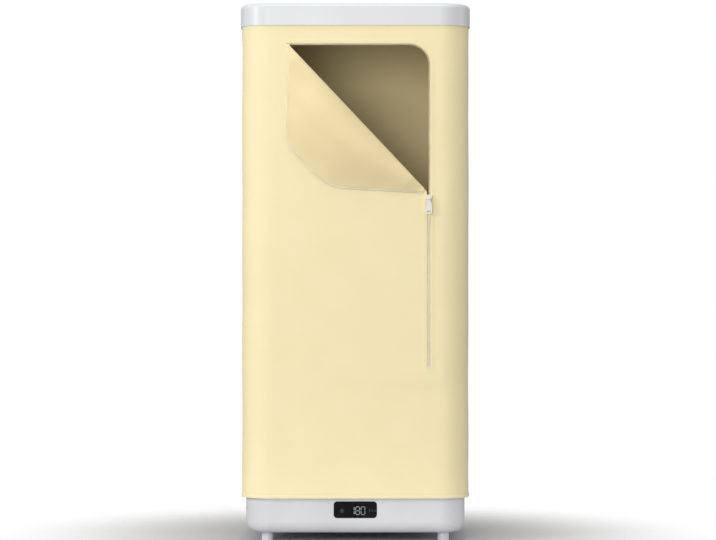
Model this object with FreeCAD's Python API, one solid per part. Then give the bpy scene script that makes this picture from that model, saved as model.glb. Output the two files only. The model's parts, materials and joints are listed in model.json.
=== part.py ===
# Drying cabinet: a fabric cabinet that stands on a fan heater base. Four plug-together uprights carry a
# moulded lid, and a hanging rail under the lid carries the laundry. A seven-shaped zip closes the doorway,
# whose upper corner is peeled open.
#
# Millimetres. X runs to the right, Y to the back and Z up. The front of the cabinet faces -Y. The origin
# lies on the floor, in the middle of the four feet.
import FreeCAD, Part
import math
import os

# ---- Clearances ---------------------------------------------------------------------------------------
fit_gap = 0.3             # between pieces that fit into each other
screw_gap = 0.1           # round a screw's thread in its bore
sewn_gap = 0.1            # between the flap and the tape sewn to it
blade_gap = 2.1           # between the blade tips and the fan's duct

# ---- Whole cabinet ------------------------------------------------------------------------------------
lid_width = 600.0
lid_depth = 450.0
total_height = 1400.0
lid_height = 57.0
foot_height = 24.0
tray_height = 91.0

# ---- Lid ----------------------------------------------------------------------------------------------
lid_wall = 2.7
lid_top_wall = 3.0
lid_corner_r = 78.0       # seen from above
lid_edge_r = 12.0         # round the top edge
lid_rib_height = 8.0
lid_rib_wall = 1.8
lid_rib_pitch = 92.0
cover_tuck = 22.0         # height of cover that the lid's skirt hides
frame_lift = 9.0          # from the skirt's lower edge up to the inner plate
frame_wall = 3.0
rim_wall = 2.4
exhaust_slot_width = 6.0
exhaust_slot_height = 18.0
exhaust_slot_pitch = 16.0
exhaust_slot_count = 17
vent_width = 9.0
vent_length = 84.0
vent_pitch = 27.0
vent_count = 11
vent_row_y = 82.0

# ---- Fabric cover and zip -----------------------------------------------------------------------------
cover_wall = 1.6
door_left_margin = 124.0  # from the cover's side to the fold's upper end
door_right_margin = 106.5  # from the cover's side to the zip's line
door_top_margin = 51.5    # from the lid to the zip's line
door_corner_r = 52.0
peel_height = 385.2       # from the zip's top run down to the lower end of the fold
zip_closed_run = 455.3    # from there down to the lower end of the zip
zip_reveal = 5.0          # from the zip's line to the cover's edge
tape_width = 13.0         # on each side of the zip's line
tape_wall = 0.8
facing_wall = 0.9
teeth_width = 3.0         # of each row
teeth_height = 2.8
stop_length = 8.0
stop_corner_r = 1.5

# ---- Peeled flap --------------------------------------------------------------------------------------
flap_wall = 1.6
roll_r = 4.5              # of the sheet's middle where it turns back over the fold
flap_float = 0.5          # between the cover and the rolled sheet
flap_reach = 182.0        # from the fold to the cut-off corner
flap_corner_r = 110.0
flap_hump = 24.0          # how far the peeled sheet puffs out in the middle
flap_edge_height = 3.0    # of the sheet's middle over the cover along the free edges
flap_end_gap = 1.0        # between the flap and the slider's path
flap_run_on = 8.0         # of the loft past the flap's edge, before its outline is cut

# ---- Slider and pull ----------------------------------------------------------------------------------
slider_width = 20.0
slider_foot_width = 15.0
slider_length = 19.0
slider_wall = 5.2
slider_drop = 3.0         # from the end of the fold to the slider's top
rail_flange = 1.2         # the slider's flanges beside the teeth
ear_wall = 2.0
pull_width = 17.0
pull_neck = 9.0
pull_length = 40.0
pull_wall = 2.0
pull_pin_r = 1.0
pull_eye_r = 2.3
pull_hole = (9.0, 5.0)    # width and height of the finger slot

# ---- Uprights and rail --------------------------------------------------------------------------------
upright_side_inset = 45.1   # from the rim's side to the upright's middle
upright_front_inset = 40.1  # from the rim's front
upright_r = 9.5
upright_wall = 1.0
coupler_r = 12.0
coupler_height = 50.0
coupler_stop = 1.0
coupler_lip = 1.5
socket_r = 14.0
socket_flange_r = 17.0
socket_height = 40.0
socket_flange = 3.0
rail_r = 11.0
rail_wall = 1.2
rail_below_lid = 25.0     # from the lid frame to the rail's middle
rail_end_inset = 41.0     # from the upright's middle to the rail's end
bracket_wall = 5.0
bracket_depth = 14.0
bracket_floor = 4.0
bracket_flange = (30.0, 62.0, 4.0)

# ---- Base ---------------------------------------------------------------------------------------------
tray_inset = 11.0         # from the cover's face to the tray's face
tray_wall = 2.8
tray_edge_r = 28.0        # round the bottom edge
deck_wall = 3.0
deck_rim = 20.0
deck_lip = 4.5
deck_lip_wall = 2.0
post_r = 5.0
side_post_y = 0.0
long_post_inset = 136.0   # from the tray's side to the posts along its front and back
inlet_r = 77.0
inlet_slot = 4.5
inlet_pitch = 9.0
inlet_bridge = 5.0
wall_rib = 2.0
wall_rib_depth = 6.0
wall_rib_y = (-100.0, -55.0, 55.0, 100.0)
foot_inset = 56.0         # from the tray's sides to the feet
foot_r = 15.0
pad_r = 12.0
pad_wall = 3.0
foot_boss_r = 8.0
foot_boss = 4.0
foot_hold = 9.0           # thread in the foot

# ---- Fan and heater -----------------------------------------------------------------------------------
duct_r = 88.0
duct_wall = 2.4
fan_height = 44.0
fan_lift = 6.2            # from the tray's floor to the fan's duct
fan_flange = 3.0
fan_flange_width = 4.0
fan_ear_r = 7.0
fan_ear_place = 98.0
strut_count = 4
strut_width = 6.0
strut_height = 4.0
motor_plate_r = 24.0
motor_r = 20.0
motor_height = 20.0
motor_nose_r = 5.0
motor_nose = 3.0
shaft_r = 2.0
hub_r = 25.0
hub_wall = 2.5
hub_height = 22.0
hub_boss_r = 4.5
hub_over_nose = 0.5
blade_count = 7
# radius, chord, pitch in degrees, camber and thickness of three cuts through a blade
blade_cuts = [(22.0, 30.0, 46.0, 3.4, 2.4), (54.0, 42.0, 33.0, 4.0, 1.9), (92.0, 54.0, 23.0, 3.6, 1.4)]
blade_edge = 0.6
heater_below_deck = 9.0   # from the heater frame's top to the tray's top
heater_x = 120.0
heater_y = 104.0
heater_ledge = 3.0
fin_height = 23.0
fin_pitch = 5.0
fin_wall = 0.7
ptc_bar = 6.0
fin_banks = 3
cutout_r = 6.0
cutout_height = 5.0
cutout_x = 68.0
cutout_cap = 1.5
cutout_tag = (3.2, 0.8)   # width and thickness of each terminal
cutout_tag_reach = 5.0
filter_r = 84.0
filter_rim = 4.0
filter_height = 4.0
filter_foam = 3.0
filter_bar = 3.0

# ---- Outlet grille ------------------------------------------------------------------------------------
outlet_r = 75.0
grille_flange = 7.0
grille_top = 2.4
grille_depth = 5.0
grille_bar = 2.4
grille_rings = 4
grille_hub_r = 12.0
grille_spokes = 8

# ---- Display and electronics --------------------------------------------------------------------------
window_width = 112.0
window_height = 43.0
window_corner_r = 9.0
window_below_deck = 29.6  # from the deck to the window's middle
window_proud = 0.4
window_flange = 3.0
window_flange_wall = 1.4
module_width = 92.0
module_height = 26.0
module_depth = 6.0
board_wall = 1.6
control_board_width = 136.0
control_board_height = 36.0
control_post_r = 3.0
control_post_inset = 4.5
power_board_inset = (68.0, 83.0)  # from the tray's right side and its back
power_board_size = (96.0, 90.0)
power_board_lift = 9.0
power_post_inset = 6.0
power_post_r = 4.0
# each component's place from the board's corner, its width, depth and height
power_blocks = [
    (10.0, 12.0, 34.0, 28.0, 24.0),
    (56.0, 14.0, 20.0, 16.0, 15.0),
    (14.0, 68.0, 40.0, 12.0, 11.0),
]
power_capacitor = (70.0, 64.0, 7.0, 22.0)  # place, radius and height
board_sink = 0.5          # how far a component reaches into its board
chip = (-30.0, -16.0, 2.0, 14.0)          # from x to x, thickness and height
plug = (24.0, 44.0, 8.0, 10.0)
gland_inset = 96.0        # from the tray's right side
gland_below_deck = 43.0
gland_r = 8.0
gland_flange_r = 11.0
gland_flange = 3.0
gland_dome = 5.0
gland_nut = 5.0
gland_bore_r = 3.6
gland_lip = 1.5

# ---- Screws -------------------------------------------------------------------------------------------
screw_r = 1.9
screw_head_r = 4.0
screw_head = 2.4
screw_hold = 14.0         # thread in the post

# ---- Sizes and places that follow ---------------------------------------------------------------------
lid_bottom = total_height - lid_height
lid_ceiling = total_height - lid_top_wall
tray_top = foot_height + tray_height
tray_floor = foot_height + tray_wall

cover_width = lid_width - 2 * (lid_wall + fit_gap)
cover_depth = lid_depth - 2 * (lid_wall + fit_gap)
cover_corner_r = lid_corner_r - lid_wall - fit_gap
cover_front_y = -cover_depth / 2
cover_inner_y = cover_front_y + cover_wall
cover_bottom = tray_top
cover_top = lid_bottom + cover_tuck
flat_half_x = cover_width / 2 - cover_corner_r
flat_half_y = cover_depth / 2 - cover_corner_r

rim_inset = cover_wall + fit_gap
rim_width = cover_width - 2 * rim_inset
rim_depth = cover_depth - 2 * rim_inset
rim_corner_r = cover_corner_r - rim_inset

tray_width = cover_width - 2 * tray_inset
tray_depth = cover_depth - 2 * tray_inset
tray_corner_r = cover_corner_r - tray_inset
tray_half_x = tray_width / 2
tray_half_y = tray_depth / 2

deck_top = tray_top + deck_wall
frame_bottom = lid_bottom + frame_lift
frame_top = frame_bottom + frame_wall
frame_rim_top = cover_top + 1.0
coupler_z = (deck_top + frame_bottom) / 2

upright_x = rim_width / 2 - upright_side_inset
upright_y = rim_depth / 2 - upright_front_inset
rail_z = frame_bottom - rail_below_lid
rail_half = upright_x - rail_end_inset

door_left = door_left_margin - cover_width / 2
door_right = cover_width / 2 - door_right_margin
door_top = lid_bottom - door_top_margin
fold_bottom = door_top - peel_height
zip_low = fold_bottom - zip_closed_run

fan_bottom = tray_floor + fan_lift
fan_top = fan_bottom + fan_height
heater_top = tray_top - heater_below_deck
heater_bottom = fan_top

post_inset = post_r - 1.0
long_post_x = tray_half_x - long_post_inset
side_post_x = tray_half_x - tray_wall - post_inset
long_post_y = tray_half_y - tray_wall - post_inset
post_places = [
    (side_post_x, side_post_y),
    (-side_post_x, side_post_y),
    (long_post_x, long_post_y),
    (long_post_x, -long_post_y),
    (-long_post_x, long_post_y),
    (-long_post_x, -long_post_y),
]
upright_places = {
    "front_left": (-upright_x, -upright_y),
    "front_right": (upright_x, -upright_y),
    "rear_left": (-upright_x, upright_y),
    "rear_right": (upright_x, upright_y),
}
foot_x = tray_half_x - foot_inset
foot_y = tray_half_y - foot_inset
foot_places = {
    "front_left": (-foot_x, -foot_y),
    "front_right": (foot_x, -foot_y),
    "rear_left": (-foot_x, foot_y),
    "rear_right": (foot_x, foot_y),
}

window_z = tray_top - window_below_deck
power_board_x = tray_half_x - power_board_inset[0] - power_board_size[0]
power_board_y = tray_half_y - power_board_inset[1] - power_board_size[1]
gland_x = tray_half_x - gland_inset
gland_z = tray_top - gland_below_deck

slider_top = fold_bottom - slider_drop
slider_bottom = slider_top - slider_length
slider_back_y = cover_front_y - facing_wall - fit_gap
slider_front_y = slider_back_y - slider_wall
pin_y = slider_front_y - pull_eye_r - fit_gap - screw_gap
pin_z = slider_bottom + 0.45 * slider_length
teeth_back_y = cover_inner_y
teeth_front_y = teeth_back_y - teeth_height

fold_start = FreeCAD.Vector(door_left, cover_front_y, door_top)
fold_run = FreeCAD.Vector(door_right - door_left, 0, fold_bottom - door_top)
fold_length = fold_run.Length
fold_along = FreeCAD.Vector(fold_run).normalize()
fold_away = FreeCAD.Vector(fold_along.z, 0, -fold_along.x)
fold_angle = math.atan2(-fold_along.z, fold_along.x)
roll_centre_w = roll_r + flap_wall / 2
roll_centre_h = flap_float + flap_wall / 2 + roll_r
hump_scale = 27 / 4       # brings the peak of share * (1 - share) ** 2 to one


# ---- Basic shapes -------------------------------------------------------------------------------------
def vec(x, y, z):
    return FreeCAD.Vector(x, y, z)


def block(x0, x1, y0, y1, z0, z1):
    return Part.makeBox(x1 - x0, y1 - y0, z1 - z0, vec(x0, y0, z0))


def rod(radius, x, y, z0, z1):
    return Part.makeCylinder(radius, z1 - z0, vec(x, y, z0))


def rod_y(radius, x, z, y0, y1):
    return Part.makeCylinder(radius, y1 - y0, vec(x, y0, z), vec(0, 1, 0))


def rod_x(radius, y, z, x0, x1):
    return Part.makeCylinder(radius, x1 - x0, vec(x0, y, z), vec(1, 0, 0))


def fused(shapes):
    whole = shapes[0].multiFuse(shapes[1:])
    return whole.removeSplitter()


def group(solids):
    return Part.makeCompound(solids)


def rounded_wire(corners):
    """Closed flat wire through corners, given as (point, radius), each rounded by an arc of that radius."""
    starts = []
    edges = []
    count = len(corners)
    for index, (corner, radius) in enumerate(corners):
        before = corner - corners[index - 1][0]
        after = corners[(index + 1) % count][0] - corner
        before.normalize()
        after.normalize()
        half_turn = before.getAngle(after) / 2
        reach = radius * math.tan(half_turn)
        start = corner - before * reach
        finish = corner + after * reach
        starts.append((start, finish))
        if radius > 0:
            inward = (after - before).normalize()
            middle = corner + inward * (radius / math.cos(half_turn) - radius)
            edges.append(Part.Arc(start, middle, finish).toShape())
    for index in range(count):
        finish = starts[index][1]
        start = starts[(index + 1) % count][0]
        if finish.distanceToPoint(start) > 1e-6:
            edges.append(Part.makeLine(finish, start))
    return Part.Wire(Part.__sortEdges__(edges))


def rounded_prism(width, depth, radius, z0, z1):
    """Upright prism whose plan is a rounded rectangle round the Z axis."""
    x = width / 2
    y = depth / 2
    corners = [(vec(x, -y, z0), radius), (vec(x, y, z0), radius)]
    corners += [(vec(-x, y, z0), radius), (vec(-x, -y, z0), radius)]
    return Part.Face(rounded_wire(corners)).extrude(vec(0, 0, z1 - z0))


def front_prism(x, z, width, height, radius, y0, y1):
    """Prism along Y whose front view is a rounded rectangle round (x, z)."""
    half_x = width / 2
    half_z = height / 2
    corners = [(vec(x + half_x, y0, z - half_z), radius), (vec(x + half_x, y0, z + half_z), radius)]
    corners += [(vec(x - half_x, y0, z + half_z), radius), (vec(x - half_x, y0, z - half_z), radius)]
    return Part.Face(rounded_wire(corners)).extrude(vec(0, y1 - y0, 0))


def revolved(profile, x, y):
    """Solid of a closed profile of (radius, z) points turned about the upright axis through (x, y)."""
    points = [vec(x + radius, y, z) for radius, z in profile]
    face = Part.Face(Part.makePolygon(points + points[:1]))
    return face.revolve(vec(x, y, 0), vec(0, 0, 1), 360)


def rounded_at(shape, z, radius):
    """The shape with its flat outline at height z rounded."""
    edges = [e for e in shape.Edges if abs(e.BoundBox.ZMin - z) < 1e-3 and abs(e.BoundBox.ZMax - z) < 1e-3]
    return shape.makeFillet(radius, edges)


def screw(x, y, seat_z, length, upwards):
    """Pan-head screw whose head lies against seat_z and whose thread runs up or down from it."""
    way = 1 if upwards else -1
    head = Part.makeCylinder(screw_head_r, screw_head, vec(x, y, seat_z), vec(0, 0, -way))
    thread = Part.makeCylinder(screw_r, length, vec(x, y, seat_z), vec(0, 0, way))
    return head.fuse(thread).removeSplitter()


# ---- Lid ----------------------------------------------------------------------------------------------
def lid_cap():
    """Moulded lid with a rounded top edge, ribs, screw posts and air slots at the back."""
    outer = rounded_prism(lid_width, lid_depth, lid_corner_r, lid_bottom, total_height)
    outer = rounded_at(outer, total_height, lid_edge_r)
    room_width = lid_width - 2 * lid_wall
    room_depth = lid_depth - 2 * lid_wall
    room = rounded_prism(room_width, room_depth, lid_corner_r - lid_wall, lid_bottom, lid_ceiling)
    room = rounded_at(room, lid_ceiling, lid_edge_r - lid_wall)
    ribs = []
    rib_bottom = lid_ceiling - lid_rib_height
    half_rib = lid_rib_wall / 2
    rib_x = room_width / 2 - lid_edge_r
    rib_y = room_depth / 2 - lid_edge_r
    for step in range(-2, 3):
        x = step * lid_rib_pitch
        ribs.append(block(x - half_rib, x + half_rib, -rib_y, rib_y, rib_bottom, lid_ceiling))
    for step in range(-1, 2):
        y = step * lid_rib_pitch
        ribs.append(block(-rib_x, rib_x, y - half_rib, y + half_rib, rib_bottom, lid_ceiling))
    posts = [rod(post_r, x, y, frame_top, lid_ceiling) for x, y in post_places]
    bores = [rod(screw_r + screw_gap, x, y, frame_top, frame_top + screw_hold) for x, y in post_places]
    slots = []
    slot_top = lid_ceiling - lid_rib_height - lid_rib_wall
    first = -(exhaust_slot_count - 1) / 2 * exhaust_slot_pitch
    for index in range(exhaust_slot_count):
        x = first + index * exhaust_slot_pitch
        z = slot_top - exhaust_slot_height / 2
        radius = exhaust_slot_width / 2 - 0.01
        back = lid_depth / 2
        y0 = back - 2 * lid_wall
        slots.append(front_prism(x, z, exhaust_slot_width, exhaust_slot_height, radius, y0, back + 1))
    cap = outer.cut(room)
    cap = fused([cap] + ribs + posts)
    return cap.cut(group(bores + slots))


def lid_frame():
    """Inner plate of the lid: a rim for the cover, air vents and holes for the lid's screws."""
    plate = rounded_prism(rim_width, rim_depth, rim_corner_r, frame_bottom, frame_rim_top)
    inner_width = rim_width - 2 * rim_wall
    inner_depth = rim_depth - 2 * rim_wall
    room_r = rim_corner_r - rim_wall
    plate = plate.cut(rounded_prism(inner_width, inner_depth, room_r, frame_top, frame_rim_top))
    cuts = [rod(screw_r + fit_gap, x, y, frame_bottom, frame_top) for x, y in post_places]
    cuts += [rod(screw_r + fit_gap, x, y, frame_bottom, frame_top) for x, y in bracket_screw_places()]
    first = -(vent_count - 1) / 2 * vent_pitch
    for index in range(vent_count):
        x = first + index * vent_pitch
        for y in (-vent_row_y, vent_row_y):
            half = vent_length / 2 - vent_width / 2
            end_r = vent_width / 2
            middle = block(x - end_r, x + end_r, y - half, y + half, frame_bottom, frame_top)
            ends = [rod(end_r, x, y + way * half, frame_bottom, frame_top) for way in (-1, 1)]
            cuts.append(fused([middle] + ends))
    return plate.cut(group(cuts))


def lid_screws():
    return group([screw(x, y, frame_bottom, frame_wall + screw_hold - 1, True) for x, y in post_places])


# ---- Hanging rail -------------------------------------------------------------------------------------
def bracket_screw_places():
    reach = bracket_flange[1] / 2 - 2 * screw_head_r + 2
    x = rail_half + bracket_floor - bracket_depth / 2
    return [(side * x, way * reach) for side in (-1, 1) for way in (-1, 1)]


def rail_bracket(side):
    """Hanger under the lid frame with a blind socket for one end of the rail."""
    outer_x = rail_half + bracket_floor
    inner_x = outer_x - bracket_depth
    ring_r = rail_r + fit_gap + bracket_wall
    top = frame_bottom - bracket_flange[2]
    web_y = ring_r + 6.0
    corners = [(vec(inner_x, -ring_r, rail_z), 0), (vec(inner_x, ring_r, rail_z), 0)]
    corners += [(vec(inner_x, web_y, top), 0), (vec(inner_x, -web_y, top), 0)]
    web = Part.Face(rounded_wire(corners)).extrude(vec(bracket_depth, 0, 0))
    ring = rod_x(ring_r, 0, rail_z, inner_x, outer_x)
    middle_x = (inner_x + outer_x) / 2
    half_x = bracket_flange[0] / 2
    half_y = bracket_flange[1] / 2
    plate = block(middle_x - half_x, middle_x + half_x, -half_y, half_y, top, frame_bottom)
    uprights = [e for e in plate.Edges if e.BoundBox.ZLength > 1]
    plate = plate.makeFillet(bracket_flange[2], uprights)
    bracket = fused([web, ring, plate])
    bracket = bracket.cut(rod_x(rail_r + fit_gap, 0, rail_z, inner_x, outer_x - bracket_floor + fit_gap))
    bores = [rod(screw_r + screw_gap, x, y, top, frame_bottom) for x, y in bracket_screw_places() if x > 0]
    bracket = bracket.cut(group(bores))
    if side < 0:
        bracket = bracket.mirror(vec(0, 0, 0), vec(1, 0, 0))
    return bracket


def bracket_screws():
    length = frame_wall + bracket_flange[2] - 1
    return group([screw(x, y, frame_top, length, False) for x, y in bracket_screw_places()])


def hanging_rail():
    outer = rod_x(rail_r, 0, rail_z, -rail_half, rail_half)
    return outer.cut(rod_x(rail_r - rail_wall, 0, rail_z, -rail_half, rail_half))


# ---- Uprights -----------------------------------------------------------------------------------------
def upright_sockets(seat_z, upwards):
    """Four flanged sleeves that the uprights plug into, standing on or hanging from seat_z."""
    way = 1 if upwards else -1
    bore = upright_r + fit_gap
    flange = seat_z + way * socket_flange
    end = seat_z + way * socket_height
    profile = [(bore, seat_z), (socket_flange_r, seat_z), (socket_flange_r, flange)]
    profile += [(socket_r, flange), (socket_r, end), (bore, end)]
    return group([revolved(profile, x, y) for x, y in upright_places.values()])


def upright(x, y, z0, z1):
    return rod(upright_r, x, y, z0, z1).cut(rod(upright_r - upright_wall, x, y, z0, z1))


def upright_coupler(x, y):
    """Sleeve that joins two lengths of upright, with a ring in the middle that stops both."""
    bore = upright_r + fit_gap
    half = coupler_height / 2
    low = coupler_z - half
    high = coupler_z + half
    slim_r = coupler_r - coupler_lip
    stop_low = coupler_z - coupler_stop / 2
    stop_high = coupler_z + coupler_stop / 2
    ring = upright_r - upright_wall + fit_gap
    profile = [(bore, low), (slim_r, low), (coupler_r, low + coupler_lip)]
    profile += [(coupler_r, high - coupler_lip), (slim_r, high), (bore, high)]
    profile += [(bore, stop_high), (ring, stop_high), (ring, stop_low), (bore, stop_low)]
    return revolved(profile, x, y)


# ---- Fabric cover -------------------------------------------------------------------------------------
def door_block(offset, left, low, y0, y1):
    """Everything inside the zip's line moved outwards by offset, as far as the left and low limits."""
    right = door_right + offset
    top = door_top + offset
    corners = [(vec(left, y0, low), 0), (vec(right, y0, low), 0)]
    corners += [(vec(right, y0, top), door_corner_r + offset), (vec(left, y0, top), 0)]
    return Part.Face(rounded_wire(corners)).extrude(vec(0, y1 - y0, 0))


def on_fold(v, w, h):
    """Point at v along the fold, w away from it over the cover and h in front of the cover."""
    return fold_start + fold_along * v + fold_away * w + vec(0, -h, 0)


def fold_prism(corners, depth):
    """Prism along Y, through the cover and the flap, of an outline of ((v, w), radius) corners."""
    wire = rounded_wire([(on_fold(v, w, depth), radius) for (v, w), radius in corners])
    return Part.Face(wire).extrude(vec(0, 2 * depth, 0))


def cover_front():
    """Front sheet with the peeled-open corner of the doorway and the slit that the zip closes."""
    panel = block(-flat_half_x, flat_half_x, cover_front_y, cover_inner_y, cover_bottom, cover_top)
    y0 = cover_front_y - 1
    y1 = cover_inner_y + 1
    opening = door_block(zip_reveal, -flat_half_x, zip_low, y0, y1)
    far = fold_length
    beyond = [((-far, 0), 0), ((2 * far, 0), 0), ((2 * far, -far), 0), ((-far, -far), 0)]
    opening = opening.common(fold_prism(beyond, cover_wall * 2))
    slit = block(door_right - zip_reveal, door_right + zip_reveal, y0, y1, zip_low, fold_bottom)
    return panel.cut(group([opening])).cut(slit)


def cover_back():
    return block(-flat_half_x, flat_half_x, -cover_inner_y, -cover_front_y, cover_bottom, cover_top)


def cover_side(side):
    """Flat sheet of one side, between the cabinet's rounded corners."""
    outer = side * cover_width / 2
    inner = outer - side * cover_wall
    return block(min(inner, outer), max(inner, outer), -flat_half_y, flat_half_y, cover_bottom, cover_top)


def cover_corners():
    """The cover's four rounded corners, each a quarter of a tube between the flat sheets."""
    outer = rounded_prism(cover_width, cover_depth, cover_corner_r, cover_bottom, cover_top)
    inner_r = cover_corner_r - cover_wall
    inner_width = cover_width - 2 * cover_wall
    inner_depth = cover_depth - 2 * cover_wall
    inner = rounded_prism(inner_width, inner_depth, inner_r, cover_bottom, cover_top)
    tube = outer.cut(inner)
    far = cover_width
    corners = []
    for side in (-1, 1):
        for face in (-1, 1):
            x0, x1 = sorted((side * flat_half_x, side * far))
            y0, y1 = sorted((face * flat_half_y, face * far))
            corners.append(tube.common(block(x0, x1, y0, y1, cover_bottom, cover_top)))
    return group(corners)


# ---- Zip ----------------------------------------------------------------------------------------------
def zip_band(inner, outer, low, y0, y1):
    """Band beside the zip's line, up the right side, round the corner and along the doorway's top."""
    band = door_block(outer, door_left, low, y0, y1)
    return band.cut(door_block(inner, door_left - 1, low - 1, y0 - 1, y1 + 1))


def zip_tape():
    """Woven tape sewn behind the cover: one side round the doorway, both sides below it."""
    y0 = cover_inner_y
    y1 = y0 + tape_wall
    side = zip_band(0, tape_width, zip_low - tape_width, y0, y1)
    other = block(door_right - tape_width, door_right, y0, y1, zip_low - tape_width, slider_top)
    return fused([side, other])


def zip_facing():
    """Binding round the slit and the doorway on the cover's face."""
    y0 = cover_front_y - facing_wall
    y1 = cover_front_y
    side = zip_band(zip_reveal, tape_width, zip_low, y0, y1)
    left = door_right - tape_width
    other = block(left, door_right - zip_reveal, y0, y1, zip_low, slider_top)
    foot = block(left, door_right + tape_width, y0, y1, zip_low - tape_width + zip_reveal, zip_low)
    return fused([side, other, foot])


def zip_teeth_open():
    """Row of teeth along the open doorway, from the slider to the end of the top run."""
    return zip_band(0, teeth_width, slider_top - fit_gap, teeth_front_y, teeth_back_y)


def zip_chain():
    """Both rows of teeth meshed, from the bottom stop up into the slider."""
    low = zip_low + stop_length
    top = slider_top - 2 * fit_gap
    return block(door_right - teeth_width, door_right + teeth_width, teeth_front_y, teeth_back_y, low, top)


def zip_bottom_stop():
    width = 2 * (zip_reveal - fit_gap)
    middle = zip_low + stop_length / 2
    front = teeth_front_y - fit_gap
    return front_prism(door_right, middle, width, stop_length, stop_corner_r, front, teeth_back_y)


def zip_slider():
    """Slider over the meshed teeth, with flanges inside the slit and two ears that carry the pull's pin."""
    top_half = slider_width / 2
    low_half = slider_foot_width / 2
    corners = [(vec(door_right - low_half, slider_front_y, slider_bottom), 3.0)]
    corners += [(vec(door_right + low_half, slider_front_y, slider_bottom), 3.0)]
    corners += [(vec(door_right + top_half, slider_front_y, slider_top), 5.0)]
    corners += [(vec(door_right - top_half, slider_front_y, slider_top), 5.0)]
    body = Part.Face(rounded_wire(corners)).extrude(vec(0, slider_wall, 0))
    front = [e for e in body.Edges if abs(e.BoundBox.YMax - slider_front_y) < 1e-3]
    body = body.makeFillet(1.4, front)
    groove_half = teeth_width + fit_gap + screw_gap
    groove_y = teeth_front_y - fit_gap - screw_gap
    left = door_right - groove_half
    right = door_right + groove_half
    groove = block(left, right, groove_y, cover_front_y, slider_bottom, slider_top)
    flange_y = cover_inner_y - fit_gap - screw_gap
    pieces = [body]
    for way in (-1, 1):
        inner = door_right + way * groove_half
        outer = door_right + way * (groove_half + rail_flange)
        low = slider_bottom + 3
        high = slider_top - 3
        pieces.append(block(min(inner, outer), max(inner, outer), slider_back_y - 1, flange_y, low, high))
    for way in (-1, 1):
        inner = door_right + way * (pull_neck / 2 + fit_gap)
        outer = door_right + way * (pull_neck / 2 + fit_gap + ear_wall)
        x0 = min(inner, outer)
        x1 = max(inner, outer)
        ear_r = pull_eye_r
        ear = rod_x(ear_r, pin_y, pin_z, x0, x1)
        root = block(x0, x1, pin_y, slider_front_y + 1, pin_z - ear_r, pin_z + ear_r)
        pieces += [ear, root]
    half_pin = pull_neck / 2 + fit_gap + ear_wall / 2
    pieces.append(rod_x(pull_pin_r, pin_y, pin_z, door_right - half_pin, door_right + half_pin))
    return fused(pieces).cut(groove)


def zip_pull():
    """Pull tab hanging from the slider's pin, with an eye at the top and a finger slot below."""
    y0 = pin_y - pull_wall / 2
    neck = pull_neck / 2 - 0.5
    half = pull_width / 2
    low = pin_z - pull_length
    shoulder = pin_z - 0.35 * pull_length
    corners = [(vec(door_right - neck, y0, pin_z), 0), (vec(door_right - neck, y0, shoulder + 6), 4.0)]
    corners += [(vec(door_right - half, y0, shoulder), 3.0), (vec(door_right - half, y0, low), 5.0)]
    corners += [(vec(door_right + half, y0, low), 5.0), (vec(door_right + half, y0, shoulder), 3.0)]
    corners += [(vec(door_right + neck, y0, shoulder + 6), 4.0), (vec(door_right + neck, y0, pin_z), 0)]
    tab = Part.Face(rounded_wire(corners)).extrude(vec(0, pull_wall, 0))
    eye = rod_x(pull_eye_r, pin_y, pin_z, door_right - pull_neck / 2, door_right + pull_neck / 2)
    bore = rod_x(pull_pin_r + fit_gap, pin_y, pin_z, door_right - pull_neck, door_right + pull_neck)
    hole_z = low + 4 + pull_hole[1] / 2
    hole = front_prism(door_right, hole_z, pull_hole[0], pull_hole[1], 2.0, y0 - 1, y0 + pull_wall + 1)
    return fused([tab, eye]).cut(group([bore, hole]))


# ---- Peeled flap --------------------------------------------------------------------------------------
def flap_edge_reach(v):
    """Distance from the fold to the flap's free edge at v along the fold."""
    left = v * math.tan(fold_angle)
    right = (fold_length - v) / math.tan(fold_angle)
    return min(left, right, flap_reach)


def flap_section(v, low, high):
    """Closed wire across the peeled sheet at v along the fold, between two distances from its middle.

    The sheet rolls over the fold, puffs out and comes down to the cover. Its middle line is a part circle
    and then a smooth curve, both cut into arcs through points worked out here.
    """
    end_w = max(flap_edge_reach(v) + flap_run_on, 5 * roll_r)
    hump = flap_hump * math.sin(math.pi * v / fold_length) ** 2
    slope = math.atan(hump_scale * hump / (end_w - roll_centre_w))
    start_w = roll_centre_w - roll_r * math.sin(slope)
    start_h = roll_centre_h + roll_r * math.cos(slope)
    span = end_w - start_w

    def on_roll(share):
        angle = -math.pi / 2 - share * (math.pi - slope)
        out_w = math.cos(angle)
        out_h = math.sin(angle)
        return roll_centre_w + roll_r * out_w, roll_centre_h + roll_r * out_h, out_w, out_h

    def on_sheet(share):
        fall = 3 * share ** 2 - 2 * share ** 3
        puff = hump * hump_scale
        height = start_h + (flap_edge_height - start_h) * fall + puff * share * (1 - share) ** 2
        rise = (flap_edge_height - start_h) * (6 * share - 6 * share ** 2)
        rise = (rise + puff * (1 - share) * (1 - 3 * share)) / span
        scale = math.hypot(rise, 1)
        return start_w + span * share, height, -rise / scale, 1 / scale

    middle = [on_roll(step / 4) for step in range(5)]
    middle += [on_sheet(step / 8) for step in range(1, 9)]
    sides = []
    for distance in (high, low):
        line = []
        for w, h, out_w, out_h in middle:
            line.append(on_fold(v, w + out_w * distance, h + out_h * distance))
        sides.append(line)
    outer, inner = sides
    edges = []
    for line in (outer, inner):
        for index in range(0, len(line) - 2, 2):
            edges.append(Part.Arc(line[index], line[index + 1], line[index + 2]).toShape())
    edges.append(Part.makeLine(outer[0], inner[0]))
    edges.append(Part.makeLine(outer[-1], inner[-1]))
    return Part.Wire(Part.__sortEdges__(edges))


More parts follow.
